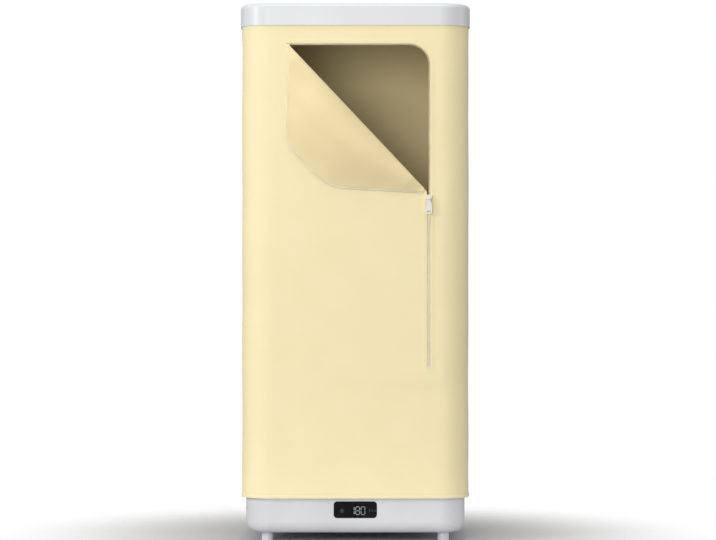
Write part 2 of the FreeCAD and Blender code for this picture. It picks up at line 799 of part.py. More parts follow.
def flap_sheet(low, high):
    """Smooth loft across the whole flap before its outline is cut."""
    stations = [0.015, 0.1, 0.22, 0.36, 0.5, 0.64, 0.78, 0.9, 0.985]
    wires = [flap_section(share * fold_length, low, high) for share in stations]
    return Part.makeLoft(wires, True, False)


def flap_outline(inset):
    """Prism of the flap's outline, moved inwards from the zip's line by inset."""
    turn_left = fold_angle
    turn_right = math.pi / 2 - fold_angle
    reach = flap_reach - inset
    behind = -2.0
    left_shift = inset / math.sin(turn_left)
    right_shift = inset / math.sin(turn_right)

    def left(w):
        return left_shift + w / math.tan(turn_left)

    def right(w):
        return fold_length - right_shift - w / math.tan(turn_right)

    radius = flap_corner_r - inset
    corners = [((left(behind), behind), 0), ((left(reach), reach), radius)]
    corners += [((right(reach), reach), radius), ((right(behind), behind), 0)]
    return fold_prism(corners, 3 * flap_hump)


def flap_limit():
    """Prism that ends the flap beside the slider's path and clear of the fold's narrow upper end."""
    far = 2 * fold_length
    right = door_right - slider_width / 2 - flap_end_gap
    left_v = (2 * roll_centre_w + 2 * roll_r) / math.tan(fold_angle)
    clear = [((left_v, -far), 0), ((left_v, far), 0), ((far, far), 0), ((far, -far), 0)]
    depth = 3 * flap_hump
    side = block(-far, right, cover_front_y - depth, cover_front_y + depth, cover_bottom, cover_top)
    return fold_prism(clear, depth).common(side)


def front_flap():
    """Corner of the front sheet, peeled back over the fold so that its inner side shows."""
    sheet = flap_sheet(-flap_wall / 2, flap_wall / 2)
    return sheet.common(flap_outline(zip_reveal)).common(flap_limit())


def zip_tape_flap():
    """The other half of the zip's tape, sewn along the flap's free edges."""
    near = -flap_wall / 2 - sewn_gap
    sheet = flap_sheet(near - tape_wall, near)
    band = flap_outline(0).cut(flap_outline(tape_width))
    return sheet.common(band).common(flap_limit())


# ---- Base ---------------------------------------------------------------------------------------------
def inlet_slots():
    """Parallel air slots through the tray's floor, within a circle and with a bridge across the middle."""
    slots = []
    count = int(inlet_r // inlet_pitch)
    for step in range(-count, count + 1):
        y = step * inlet_pitch
        half = math.sqrt(inlet_r ** 2 - y ** 2)
        length = half - inlet_bridge / 2
        if length < 3 * inlet_slot:
            continue
        for way in (-1, 1):
            x = way * (inlet_bridge + length) / 2
            inner = length / 2 - inlet_slot / 2
            end_r = inlet_slot / 2
            body = block(x - inner, x + inner, y - end_r, y + end_r, foot_height, tray_floor)
            ends = [rod(end_r, x + end * inner, y, foot_height, tray_floor) for end in (-1, 1)]
            slots.append(fused([body] + ends))
    return slots


def fan_ear_places():
    spots = []
    for index in range(4):
        angle = math.radians(45 + 90 * index)
        spots.append((fan_ear_place * math.cos(angle), fan_ear_place * math.sin(angle)))
    return spots


def power_post_places():
    x0 = power_board_x + power_post_inset
    x1 = power_board_x + power_board_size[0] - power_post_inset
    y0 = power_board_y + power_post_inset
    y1 = power_board_y + power_board_size[1] - power_post_inset
    return [(x0, y0), (x1, y0), (x0, y1), (x1, y1)]


def control_post_places():
    half_x = control_board_width / 2 - control_post_inset
    half_z = control_board_height / 2 - control_post_inset
    return [(x, window_z + z) for x in (-half_x, half_x) for z in (-half_z, half_z)]


def base_tray():
    """Moulded tray: rounded bottom edge, inlet grille, posts, bosses, ribs and the display's window."""
    outer = rounded_prism(tray_width, tray_depth, tray_corner_r, foot_height, tray_top)
    outer = rounded_at(outer, foot_height, tray_edge_r)
    inner_r = tray_corner_r - tray_wall
    inner_width = tray_width - 2 * tray_wall
    inner_depth = tray_depth - 2 * tray_wall
    room = rounded_prism(inner_width, inner_depth, inner_r, tray_floor, tray_top)
    room = rounded_at(room, tray_floor, tray_edge_r - tray_wall)
    inside = [rod(post_r, x, y, tray_floor, tray_top) for x, y in post_places]
    inside += [rod(foot_boss_r, x, y, tray_floor, tray_floor + foot_boss) for x, y in foot_places.values()]
    inside += [rod(post_r, x, y, tray_floor, fan_bottom) for x, y in fan_ear_places()]
    board_seat = tray_floor + power_board_lift
    inside += [rod(power_post_r, x, y, tray_floor, board_seat) for x, y in power_post_places()]
    wall_y = -tray_half_y + tray_wall
    board_y = wall_y + window_flange_wall + fit_gap + module_depth
    inside += [rod_y(control_post_r, x, z, wall_y, board_y) for x, z in control_post_places()]
    rib_x = tray_half_x - tray_wall - wall_rib_depth
    rib_low = foot_height + tray_edge_r
    rib_high = tray_top - 2 * deck_lip
    for y in wall_rib_y:
        for way in (-1, 1):
            x0 = min(way * rib_x, way * tray_half_x)
            x1 = max(way * rib_x, way * tray_half_x)
            inside.append(block(x0, x1, y - wall_rib / 2, y + wall_rib / 2, rib_low, rib_high))
    features = [piece.common(outer) for piece in inside]
    tray = fused([outer.cut(room)] + features)
    bore = screw_r + screw_gap
    cuts = [rod(bore, x, y, tray_top - screw_hold, tray_top) for x, y in post_places]
    free_bore = screw_r + fit_gap
    cuts += [rod(free_bore, x, y, foot_height, tray_floor + foot_boss) for x, y in foot_places.values()]
    cuts += [rod(bore, x, y, tray_floor, fan_bottom) for x, y in fan_ear_places()]
    cuts += inlet_slots()
    hole_width = window_width + 2 * fit_gap
    hole_height = window_height + 2 * fit_gap
    hole_r = window_corner_r + fit_gap
    cuts.append(front_prism(0, window_z, hole_width, hole_height, hole_r, -tray_half_y - 1, wall_y + 1))
    cuts.append(rod_y(gland_r + fit_gap, gland_x, gland_z, tray_half_y - tray_wall - 1, tray_half_y + 1))
    return tray.cut(group(cuts))


def base_deck():
    """Deck over the tray: it carries the cover's rim, the air outlet and the uprights' sockets."""
    plate = rounded_prism(rim_width, rim_depth, rim_corner_r, tray_top, tray_top + deck_rim)
    inner_width = rim_width - 2 * rim_wall
    inner_depth = rim_depth - 2 * rim_wall
    room_r = rim_corner_r - rim_wall
    plate = plate.cut(rounded_prism(inner_width, inner_depth, room_r, deck_top, tray_top + deck_rim))
    collar = rod(duct_r, 0, 0, heater_top, tray_top)
    lip_width = tray_width - 2 * (tray_wall + fit_gap)
    lip_depth = tray_depth - 2 * (tray_wall + fit_gap)
    lip_r = tray_corner_r - tray_wall - fit_gap
    lip_low = tray_top - deck_lip
    lip = rounded_prism(lip_width, lip_depth, lip_r, lip_low, tray_top)
    hollow_width = lip_width - 2 * deck_lip_wall
    hollow_depth = lip_depth - 2 * deck_lip_wall
    lip = lip.cut(rounded_prism(hollow_width, hollow_depth, lip_r - deck_lip_wall, lip_low, tray_top))
    lip = lip.cut(group([rod(post_r + fit_gap, x, y, lip_low, tray_top) for x, y in post_places]))
    rib_end = side_post_x - 2 * post_r
    ribs = []
    for y in (-duct_r / 2, duct_r / 2):
        for way in (-1, 1):
            x0 = min(way * outlet_r, way * rib_end)
            x1 = max(way * outlet_r, way * rib_end)
            ribs.append(block(x0, x1, y - wall_rib / 2, y + wall_rib / 2, lip_low, tray_top))
    deck = fused([plate, collar, lip] + ribs)
    cuts = [rod(outlet_r, 0, 0, heater_top, deck_top)]
    cuts += [rod(screw_r + fit_gap, x, y, tray_top, deck_top) for x, y in post_places]
    return deck.cut(group(cuts))


def base_screws():
    length = deck_wall + screw_hold - 1
    return group([screw(x, y, deck_top, length, False) for x, y in post_places])


def foot(x, y):
    """Fixed peg under the tray, with a blind bore for its screw and a recess that its pad fills."""
    bore = screw_r + screw_gap
    bore_end = foot_height - foot_hold - 1
    socket = pad_r + fit_gap
    profile = [(bore, foot_height), (foot_r, foot_height), (foot_r, 0), (socket, 0), (socket, pad_wall)]
    profile += [(0, pad_wall), (0, bore_end), (bore, bore_end)]
    return revolved(profile, x, y)


def foot_pads():
    return group([rod(pad_r, x, y, 0, pad_wall) for x, y in foot_places.values()])


def foot_screws():
    seat = tray_floor + foot_boss
    length = foot_boss + tray_wall + foot_hold
    return group([screw(x, y, seat, length, False) for x, y in foot_places.values()])


# ---- Air path -----------------------------------------------------------------------------------------
def filter_frame():
    """Ring with a cross that holds the dust foam down on the tray's floor."""
    top = tray_floor + filter_height
    ring = rod(filter_r, 0, 0, tray_floor, top).cut(rod(filter_r - filter_rim, 0, 0, tray_floor, top))
    half = filter_bar / 2
    bar_z = tray_floor + filter_foam
    across = block(-filter_r + 1, filter_r - 1, -half, half, bar_z, top)
    along = block(-half, half, -filter_r + 1, filter_r - 1, bar_z, top)
    return fused([ring, across, along])


def filter_foam_disc():
    return rod(filter_r - filter_rim - fit_gap, 0, 0, tray_floor, tray_floor + filter_foam)


def fan_shroud():
    """Round duct with a flange, screw ears and struts that carry the motor's plate."""
    duct = rod(duct_r, 0, 0, fan_bottom, fan_top)
    duct = duct.fuse(rod(duct_r + fan_flange_width, 0, 0, fan_bottom, fan_bottom + fan_flange))
    ears = [rod(fan_ear_r, x, y, fan_bottom, fan_bottom + fan_flange) for x, y in fan_ear_places()]
    duct = fused([duct] + ears)
    duct = duct.cut(rod(duct_r - duct_wall, 0, 0, fan_bottom, fan_top))
    strut_top = fan_bottom + strut_height
    struts = []
    for index in range(strut_count):
        half = strut_width / 2
        strut = block(motor_plate_r / 2, duct_r - duct_wall / 2, -half, half, fan_bottom, strut_top)
        strut.rotate(vec(0, 0, 0), vec(0, 0, 1), 45 + 360 / strut_count * index)
        struts.append(strut)
    plate = rod(motor_plate_r, 0, 0, fan_bottom, strut_top)
    shroud = fused([duct, plate] + struts)
    return shroud.cut(group([rod(screw_r + fit_gap, x, y, fan_bottom, fan_top) for x, y in fan_ear_places()]))


def fan_screws():
    seat = fan_bottom + fan_flange
    length = fan_flange + fan_lift - 1
    return group([screw(x, y, seat, length, False) for x, y in fan_ear_places()])


def motor_levels():
    """Heights of the motor's bottom, its top and the end of its nose."""
    bottom = fan_bottom + strut_height
    top = bottom + motor_height
    return bottom, top, top + motor_nose


def fan_motor():
    bottom, top, nose_end = motor_levels()
    can = rounded_at(rod(motor_r, 0, 0, bottom, top), top, 2.0)
    nose = rod(motor_nose_r, 0, 0, top - 1, nose_end)
    bore = rod(shaft_r + fit_gap, 0, 0, bottom + 2 * fit_gap, nose_end)
    return fused([can, nose]).cut(bore)


def hub_levels():
    """Heights of the hub's lower edge and its closed top."""
    nose_end = motor_levels()[2]
    top = nose_end + hub_over_nose + motor_nose + hub_wall
    return top - hub_height, top


def fan_shaft():
    bottom = motor_levels()[0]
    return rod(shaft_r, 0, 0, bottom + 3 * fit_gap, hub_levels()[1] - hub_wall / 2)


def blade_cut(radius, chord, pitch, camber, thickness):
    """Crescent-shaped cut through a blade, square to the X axis at the given radius."""
    middle_z = sum(hub_levels()) / 2
    angle = math.radians(pitch)

    def place(along, up):
        y = along * math.cos(angle) - up * math.sin(angle)
        z = along * math.sin(angle) + up * math.cos(angle)
        return vec(radius, y, middle_z + z)

    half = chord / 2
    edge = blade_edge / 2
    upper = Part.Arc(place(-half, edge), place(0, camber + thickness / 2), place(half, edge)).toShape()
    lower = Part.Arc(place(half, -edge), place(0, camber - thickness / 2), place(-half, -edge)).toShape()
    nose = Part.makeLine(place(half, edge), place(half, -edge))
    tail = Part.makeLine(place(-half, -edge), place(-half, edge))
    return Part.Wire([upper, nose, lower, tail])


def fan_impeller():
    """Axial fan wheel: a cup over the motor with twisted, cambered blades lofted from root to tip."""
    low, top = hub_levels()
    cup = rounded_at(rod(hub_r, 0, 0, low, top), top, hub_wall)
    cup = cup.cut(rod(hub_r - hub_wall, 0, 0, low, top - hub_wall))
    boss = rod(hub_boss_r, 0, 0, motor_levels()[2] + hub_over_nose, top - hub_wall / 2)
    blade = Part.makeLoft([blade_cut(*cut) for cut in blade_cuts], True, False)
    ring = rod(duct_r - duct_wall - blade_gap, 0, 0, fan_bottom, fan_top)
    ring = ring.cut(rod(hub_r - hub_wall / 2, 0, 0, fan_bottom, fan_top))
    blade = blade.common(ring)
    blades = []
    for index in range(blade_count):
        copy = blade.copy()
        copy.rotate(vec(0, 0, 0), vec(0, 0, 1), 360 / blade_count * index)
        blades.append(copy)
    wheel = fused([cup, boss] + blades)
    return wheel.cut(rod(shaft_r + screw_gap / 2, 0, 0, low, top - hub_wall / 2 + screw_gap))


def heater_frame():
    """Round frame between the fan and the deck with a ledge that carries the heating element."""
    frame = rod(duct_r, 0, 0, heater_bottom, heater_top)
    half_x = heater_x / 2 + fit_gap
    half_y = heater_y / 2 + fit_gap
    seat = heater_bottom + heater_ledge
    window = block(-half_x, half_x, -half_y, half_y, seat, heater_top)
    through_x = heater_x / 2 - heater_ledge
    through_y = heater_y / 2 - heater_ledge
    through = block(-through_x, through_x, -through_y, through_y, heater_bottom, heater_top)
    return frame.cut(group([window.fuse(through)]))


def heater_fins():
    """Heating element: bars with banks of thin fins between them, open from below to above."""
    z0 = heater_bottom + heater_ledge
    z1 = z0 + fin_height
    element = block(-heater_x / 2, heater_x / 2, -heater_y / 2, heater_y / 2, z0, z1)
    bank = (heater_y - (fin_banks + 1) * ptc_bar) / fin_banks
    cells = int((heater_x - fin_wall) / fin_pitch)
    first = -cells * fin_pitch / 2
    gaps = []
    for row in range(fin_banks):
        y0 = -heater_y / 2 + ptc_bar + row * (bank + ptc_bar)
        for cell in range(cells):
            x0 = first + cell * fin_pitch + fin_wall / 2
            gaps.append(block(x0, x0 + fin_pitch - fin_wall, y0, y0 + bank, z0, z1))
    return element.cut(group(gaps))


def thermal_cutout():
    """Safety thermostat on the heater frame, with two flat terminals."""
    can = rod(cutout_r, cutout_x, 0, heater_top, heater_top + cutout_height)
    top = heater_top + cutout_height
    cap = rod(cutout_r - 1, cutout_x, 0, heater_top, top + cutout_cap)
    tags = []
    half, thickness = cutout_tag[0] / 2, cutout_tag[1]
    for way in (-1, 1):
        y0 = min(0, way * (cutout_r + cutout_tag_reach))
        y1 = max(0, way * (cutout_r + cutout_tag_reach))
        tags.append(block(cutout_x - half, cutout_x + half, y0, y1, top, top + thickness))
    return fused([can, cap] + tags)


def outlet_grille():
    """Round outlet grille: rings and spokes on a spigot that sits in the deck's opening."""
    low = deck_top + grille_top - grille_depth
    top = deck_top + grille_top
    spigot_r = outlet_r - fit_gap
    flange = rod(outlet_r + grille_flange, 0, 0, deck_top, top).cut(rod(spigot_r - 1, 0, 0, deck_top, top))
    spigot = rod(spigot_r, 0, 0, low, top).cut(rod(spigot_r - grille_bar, 0, 0, low, top))
    pieces = [flange, spigot, rod(grille_hub_r, 0, 0, low, top)]
    pitch = (spigot_r - grille_hub_r) / (grille_rings + 1)
    for index in range(1, grille_rings + 1):
        radius = grille_hub_r + index * pitch
        outer = rod(radius + grille_bar / 2, 0, 0, low, top)
        pieces.append(outer.cut(rod(radius - grille_bar / 2, 0, 0, low, top)))
    for index in range(grille_spokes):
        spoke = block(grille_hub_r / 2, spigot_r - 1, -grille_bar / 2, grille_bar / 2, low, top)
        spoke.rotate(vec(0, 0, 0), vec(0, 0, 1), 360 / grille_spokes * index)
        pieces.append(spoke)
    return fused(pieces)


# ---- Display and electronics --------------------------------------------------------------------------
def display_levels():
    """Depths of the tray's inner front wall, the back of the window's flange and the board's front."""
    wall_y = -tray_half_y + tray_wall
    flange_y = wall_y + window_flange_wall
    return wall_y, flange_y, flange_y + fit_gap + module_depth


def display_window():
    """Dark window, a little proud of the tray, with a flange behind the wall."""
    wall_y, flange_y, _ = display_levels()
    front = -tray_half_y - window_proud
    pane = front_prism(0, window_z, window_width, window_height, window_corner_r, front, flange_y)
    width = window_width + 2 * window_flange
    height = window_height + 2 * window_flange
    flange = front_prism(0, window_z, width, height, window_corner_r + window_flange, wall_y, flange_y)
    return fused([pane, flange])


def display_module():
    _, flange_y, board_y = display_levels()
    return front_prism(0, window_z, module_width, module_height, 1.0, flange_y + fit_gap, board_y)


def control_board():
    board_y = display_levels()[2]
    back_y = board_y + board_wall
    pieces = [front_prism(0, window_z, control_board_width, control_board_height, 2.0, board_y, back_y)]
    for x0, x1, thickness, height in (chip, plug):
        half = height / 2
        low = window_z - half
        pieces.append(block(x0, x1, back_y - board_sink, back_y + thickness, low, window_z + half))
    return fused(pieces)


def power_board():
    """Supply board with its transformer, relay, capacitor and terminal block."""
    x0 = power_board_x
    y0 = power_board_y
    width, depth = power_board_size
    z0 = tray_floor + power_board_lift
    z1 = z0 + board_wall
    pieces = [block(x0, x0 + width, y0, y0 + depth, z0, z1)]
    low = z1 - board_sink
    for x, y, width, depth, height in power_blocks:
        pieces.append(block(x0 + x, x0 + x + width, y0 + y, y0 + y + depth, low, z1 + height))
    x, y, radius, height = power_capacitor
    pieces.append(rod(radius, x0 + x, y0 + y, low, z1 + height))
    return fused(pieces)


def cable_gland():
    """Gland in the tray's rear wall: flange and dome outside, nut inside."""
    wall_in = tray_half_y - tray_wall
    wall_out = tray_half_y
    barrel = rod_y(gland_r, gland_x, gland_z, wall_in - gland_nut - 1, wall_out)
    flange = rod_y(gland_flange_r, gland_x, gland_z, wall_out, wall_out + gland_flange)
    dome_start = vec(gland_x, wall_out + gland_flange, gland_z)
    dome = Part.makeCone(gland_r, gland_bore_r + gland_lip, gland_dome, dome_start, vec(0, 1, 0))
    hexagon = []
    for index in range(6):
        angle = math.radians(60 * index)
        x = gland_x + gland_flange_r * math.cos(angle)
        z = gland_z + gland_flange_r * math.sin(angle)
        hexagon.append((vec(x, wall_in - gland_nut, z), 0.8))
    nut = Part.Face(rounded_wire(hexagon)).extrude(vec(0, gland_nut, 0))
    far = wall_out + 2 * gland_flange + gland_dome
    bore = rod_y(gland_bore_r, gland_x, gland_z, wall_in - 2 * gland_nut, far)
    return fused([barrel, flange, dome, nut]).cut(bore)


# ---- Build --------------------------------------------------------------------------------------------
def all_pieces():
    pieces = {
        "lid_cap": lid_cap(),
        "lid_frame": lid_frame(),
        "lid_screws": lid_screws(),
        "rail_bracket_left": rail_bracket(-1),
        "rail_bracket_right": rail_bracket(1),
        "bracket_screws": bracket_screws(),
        "hanging_rail": hanging_rail(),
        "lid_sockets": upright_sockets(frame_bottom, False),
        "deck_sockets": upright_sockets(deck_top, True),
        "cover_front": cover_front(),
        "cover_back": cover_back(),
        "cover_left": cover_side(-1),
        "cover_right": cover_side(1),
        "cover_corners": cover_corners(),
        "zip_tape": zip_tape(),
        "zip_facing": zip_facing(),
        "zip_teeth_open": zip_teeth_open(),
        "zip_chain": zip_chain(),
        "zip_bottom_stop": zip_bottom_stop(),
        "zip_slider": zip_slider(),
        "zip_pull": zip_pull(),
        "front_flap": front_flap(),
        "zip_tape_flap": zip_tape_flap(),
        "base_tray": base_tray(),
        "base_deck": base_deck(),
        "base_screws": base_screws(),
        "foot_pads": foot_pads(),
        "foot_screws": foot_screws(),
        "filter_frame": filter_frame(),
        "filter_foam": filter_foam_disc(),
        "fan_shroud": fan_shroud(),
        "fan_screws": fan_screws(),
        "fan_motor": fan_motor(),
        "fan_shaft": fan_shaft(),
        "fan_impeller": fan_impeller(),
        "heater_frame": heater_frame(),
        "heater_fins": heater_fins(),
        "thermal_cutout": thermal_cutout(),
        "outlet_grille": outlet_grille(),
        "display_window": display_window(),
        "display_module": display_module(),
        "control_board": control_board(),
        "power_board": power_board(),
        "cable_gland": cable_gland(),
    }
    half_stop = coupler_stop / 2
    for place, (x, y) in upright_places.items():
        pieces["upright_lower_" + place] = upright(x, y, deck_top, coupler_z - half_stop)
        pieces["upright_upper_" + place] = upright(x, y, coupler_z + half_stop, frame_bottom)
        pieces["upright_coupler_" + place] = upright_coupler(x, y)
    for place, (x, y) in foot_places.items():
        pieces["foot_" + place] = foot(x, y)
    return pieces


os.makedirs("parts", exist_ok=True)
for name, shape in all_pieces().items():
    shape.exportStep("parts/" + name + ".step")
    print(name, "solids", len(shape.Solids), "valid", shape.isValid(), "volume", round(shape.Volume))
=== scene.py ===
import json
import math

import bmesh
import bpy
from bpy.props import FloatProperty, PointerProperty, StringProperty
from mathutils import Matrix, Vector, noise


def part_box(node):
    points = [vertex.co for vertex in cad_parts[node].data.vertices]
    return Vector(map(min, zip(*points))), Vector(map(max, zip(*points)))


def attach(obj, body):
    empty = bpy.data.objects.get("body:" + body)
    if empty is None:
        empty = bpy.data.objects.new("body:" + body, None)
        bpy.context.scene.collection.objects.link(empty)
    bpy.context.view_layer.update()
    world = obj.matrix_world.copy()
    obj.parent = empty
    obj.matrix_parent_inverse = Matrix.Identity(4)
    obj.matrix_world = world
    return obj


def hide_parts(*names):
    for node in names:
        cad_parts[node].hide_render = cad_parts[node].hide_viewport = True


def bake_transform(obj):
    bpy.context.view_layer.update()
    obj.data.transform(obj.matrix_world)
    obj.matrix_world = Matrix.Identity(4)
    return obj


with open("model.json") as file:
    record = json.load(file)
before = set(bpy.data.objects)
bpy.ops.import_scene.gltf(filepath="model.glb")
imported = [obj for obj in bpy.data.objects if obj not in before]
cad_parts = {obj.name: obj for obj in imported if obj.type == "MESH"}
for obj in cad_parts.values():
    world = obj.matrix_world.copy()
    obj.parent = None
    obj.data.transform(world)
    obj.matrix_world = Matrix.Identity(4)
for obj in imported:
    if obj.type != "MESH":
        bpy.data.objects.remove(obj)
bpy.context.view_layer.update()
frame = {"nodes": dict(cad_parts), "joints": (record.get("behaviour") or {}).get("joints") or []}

bl_info = {
    "name": "Drying cabinet",
    "version": (1, 0, 0),
    "blender": (4, 5, 0),
    "location": "3D View > Sidebar > Cabinet",
    "description": "Cover, zip, lid, base and inner parts of a fabric drying cabinet",
    "category": "Object",
}

MM = 0.001

# Places that follow from the solids, in metres
PANEL_LOW, PANEL_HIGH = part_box("cover_front")
SIDE_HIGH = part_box("cover_corners")[1]
FACING_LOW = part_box("zip_facing")[0]
CHAIN_LOW, CHAIN_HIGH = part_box("zip_chain")
TEETH_LOW, TEETH_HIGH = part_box("zip_teeth_open")
SLIDER_LOW, SLIDER_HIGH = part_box("zip_slider")
WINDOW_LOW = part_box("display_window")[0]
WIDTH = 2 * SIDE_HIGH.x
DEPTH = 2 * SIDE_HIGH.y
FRONT_Y = PANEL_LOW.y
CORNER_R = SIDE_HIGH.x - PANEL_HIGH.x
STRAIGHT_X = WIDTH / 2 - CORNER_R    # half of the flat part of the front
STRAIGHT_Y = DEPTH / 2 - CORNER_R    # half of the flat part of a side
CORNER_ARC = CORNER_R * math.pi / 2  # cloth round one corner
ROUND_COVER = 4 * (STRAIGHT_X + STRAIGHT_Y + CORNER_ARC)
ZIP_X = (CHAIN_LOW.x + CHAIN_HIGH.x) / 2
FOLD = next(j for j in frame["joints"] if j["name"] == "flap_fold")


# ---- Colours and materials ----------------------------------------------------------------------------
def linear(hex_colour):
    """Linear RGBA of an sRGB hex colour."""
    channels = [int(hex_colour[i:i + 2], 16) / 255 for i in (1, 3, 5)]
    return [c / 12.92 if c <= 0.04045 else ((c + 0.055) / 1.055) ** 2.4 for c in channels] + [1.0]


def add_node(tree, kind, values=None, links=None, **settings):
    """Adds a node with its settings, input values and links from given sockets."""
    node = tree.nodes.new(kind)
    for name, value in settings.items():
        setattr(node, name, value)
    for key, value in (values or {}).items():
        node.inputs[key].default_value = value
    for key, socket in (links or {}).items():
        tree.links.new(socket, node.inputs[key])
    return node


def surface(name, colour, values=None):
    """New material with one Principled shader, and its tree, shader and object coordinates."""
    material = bpy.data.materials.new(name)
    material.use_nodes = True
    tree = material.node_tree
    tree.nodes.clear()
    shader = add_node(tree, "ShaderNodeBsdfPrincipled", {"Base Color": linear(colour), **(values or {})})
    output = add_node(tree, "ShaderNodeOutputMaterial")
    tree.links.new(shader.outputs["BSDF"], output.inputs["Surface"])
    place = add_node(tree, "ShaderNodeTexCoord").outputs["Object"]
    return material, tree, shader, place


def two_tone(tree, shader, factor, colours, ends=(0.0, 1.0), interpolation="LINEAR"):
    """Base colour between two hex colours, reached at the two ends of a factor."""
    ramp = add_node(tree, "ShaderNodeValToRGB", links={"Fac": factor})
    ramp.color_ramp.interpolation = interpolation
    for element, position, colour in zip(ramp.color_ramp.elements, ends, colours):
        element.position = position
        element.color = linear(colour)
    tree.links.new(ramp.outputs["Color"], shader.inputs["Base Color"])


def mottle(tree, shader, place, colours, scale, detail=3.0, ends=(0.35, 0.65)):
    """Base colour that drifts between two hex colours over patches of the given size in metres."""
    patches = add_node(tree, "ShaderNodeTexNoise", {"Scale": 1 / scale, "Detail": detail}, {"Vector": place})
    two_tone(tree, shader, patches.outputs["Fac"], colours, ends)


def rough_range(tree, shader, place, low, high, scale):
    """Roughness that drifts between two values over patches of the given size in metres."""
    patches = add_node(tree, "ShaderNodeTexNoise", {"Scale": 1 / scale, "Detail": 4.0}, {"Vector": place})
    spread = {"To Min": low, "To Max": high}
    mapped = add_node(tree, "ShaderNodeMapRange", spread, {"Value": patches.outputs["Fac"]})
    tree.links.new(mapped.outputs["Result"], shader.inputs["Roughness"])


def relief(tree, target, height, depth, strength):
    """Bump of the given depth in metres, into a shader or into the bump that lies over it."""
    bump = add_node(tree, "ShaderNodeBump", {"Strength": strength, "Distance": depth}, {"Height": height})
    tree.links.new(bump.outputs["Normal"], target.inputs["Normal"])
    return bump


def grain_bump(tree, shader, place, size, depth, strength):
    """Fine irregular relief: grain of the given size and depth in metres."""
    grain = add_node(tree, "ShaderNodeTexNoise", {"Scale": 1 / size, "Detail": 2.0}, {"Vector": place})
    relief(tree, shader, grain.outputs["Fac"], depth, strength)


def weave(tree, shader, coordinates, thread, depth, strength):
    """Relief of a plain weave, from two crossed sets of threads."""
    split = add_node(tree, "ShaderNodeSeparateXYZ", links={"Vector": coordinates})
    waves = []
    for axis in "XY":
        along = split.outputs[axis]
        turn = add_node(tree, "ShaderNodeMath", {1: math.pi / thread}, {0: along}, operation="MULTIPLY")
        sine = add_node(tree, "ShaderNodeMath", links={0: turn.outputs[0]}, operation="SINE")
        waves.append(sine.outputs[0])
    crossed = add_node(tree, "ShaderNodeMath", links={0: waves[0], 1: waves[1]}, operation="MULTIPLY")
    range_in = {"From Min": -1.0, "From Max": 1.0}
    height = add_node(tree, "ShaderNodeMapRange", range_in, {"Value": crossed.outputs[0]})
    return relief(tree, shader, height.outputs["Result"], depth, strength)


def coated_oxford(name, light, dark, roughness):
    """Polyester Oxford cloth with a thin coating: dull and even, with a fine weave and handling marks."""
    material, tree, shader, place = surface(name, light, {
        "Roughness": roughness, "Specular IOR Level": 0.25, "Sheen Weight": 0.12, "Sheen Roughness": 0.45})
    mottle(tree, shader, place, (dark, light), 0.11, 5.0, (0.3, 0.7))
    cloth = add_node(tree, "ShaderNodeUVMap", uv_map="cloth").outputs["UV"]
    # threads of 0.45 mm are too fine for a picture of the whole cabinet, so they are drawn 1.1 mm apart
    threads = weave(tree, shader, cloth, 1.1 * MM, 0.09 * MM, 0.5)
    handled = add_node(tree, "ShaderNodeTexNoise", {"Scale": 1 / 0.045, "Detail": 4.0}, {"Vector": place})
    relief(tree, threads, handled.outputs["Fac"], 0.5 * MM, 0.3)
    return material


def woven_tape(name, light, dark):
    """Zip tape of woven polyester: a ribbed twill with a slight sheen."""
    material, tree, shader, place = surface(name, light, {"Roughness": 0.7, "Sheen Weight": 0.2})
    mottle(tree, shader, place, (dark, light), 0.03)
    bands = add_node(
        tree, "ShaderNodeTexWave", {"Scale": 1 / (4.4 * MM), "Distortion": 0.4}, {"Vector": place},
        bands_direction="DIAGONAL")
    relief(tree, shader, bands.outputs["Fac"], 0.15 * MM, 0.5)
    return material


def moulded(name, light, dark, roughness, grain=0.5 * MM, depth=0.012 * MM, coat=0.0):
    """Injection-moulded plastic: an even colour with a fine spark-eroded grain and slightly uneven gloss."""
    gloss = {"IOR": 1.5, "Coat Weight": coat, "Coat Roughness": 0.2}
    material, tree, shader, place = surface(name, light, gloss)
    mottle(tree, shader, place, (dark, light), 0.2)
    rough_range(tree, shader, place, roughness - 0.04, roughness + 0.06, 0.05)
    grain_bump(tree, shader, place, grain, depth, 0.6)
    return material


def metal(name, light, dark, roughness, stretch=(1.0, 1.0, 1.0)):
    """Bare or plated metal: drawn or rolled lines along the stretched direction."""
    material, tree, shader, place = surface(name, light, {"Metallic": 1.0})
    drawn = add_node(tree, "ShaderNodeMapping", {"Scale": stretch}, {"Vector": place}).outputs["Vector"]
    mottle(tree, shader, drawn, (dark, light), 0.02)
    rough_range(tree, shader, drawn, roughness * 0.8, roughness * 1.3, 0.008)
    grain_bump(tree, shader, drawn, 0.8 * MM, 0.006 * MM, 0.5)
    return material


def enamelled(name, light, dark, roughness):
    """Powder coat or enamel over metal: a slight orange peel under a soft gloss."""
    gloss = {"IOR": 1.5, "Coat Weight": 0.25, "Coat Roughness": 0.15}
    material, tree, shader, place = surface(name, light, gloss)
    mottle(tree, shader, place, (dark, light), 0.05)
    rough_range(tree, shader, place, roughness - 0.05, roughness + 0.08, 0.01)
    grain_bump(tree, shader, place, 1.2 * MM, 0.02 * MM, 0.5)
    return material


def open_foam(name, light, dark):
    """Open-celled polyurethane foam: a rough black sponge of small pores, coloured darker in each pore as
    painted shade.
    """
    material, tree, shader, place = surface(name, light, {"Roughness": 0.95})
    pores = add_node(tree, "ShaderNodeTexVoronoi", {"Scale": 1 / (1.6 * MM)}, {"Vector": place})
    # painted shade: the colour is darkest in the middle of each pore
    two_tone(tree, shader, pores.outputs["Distance"], (dark, light))
    relief(tree, shader, pores.outputs["Distance"], 0.8 * MM, 0.8)
    return material


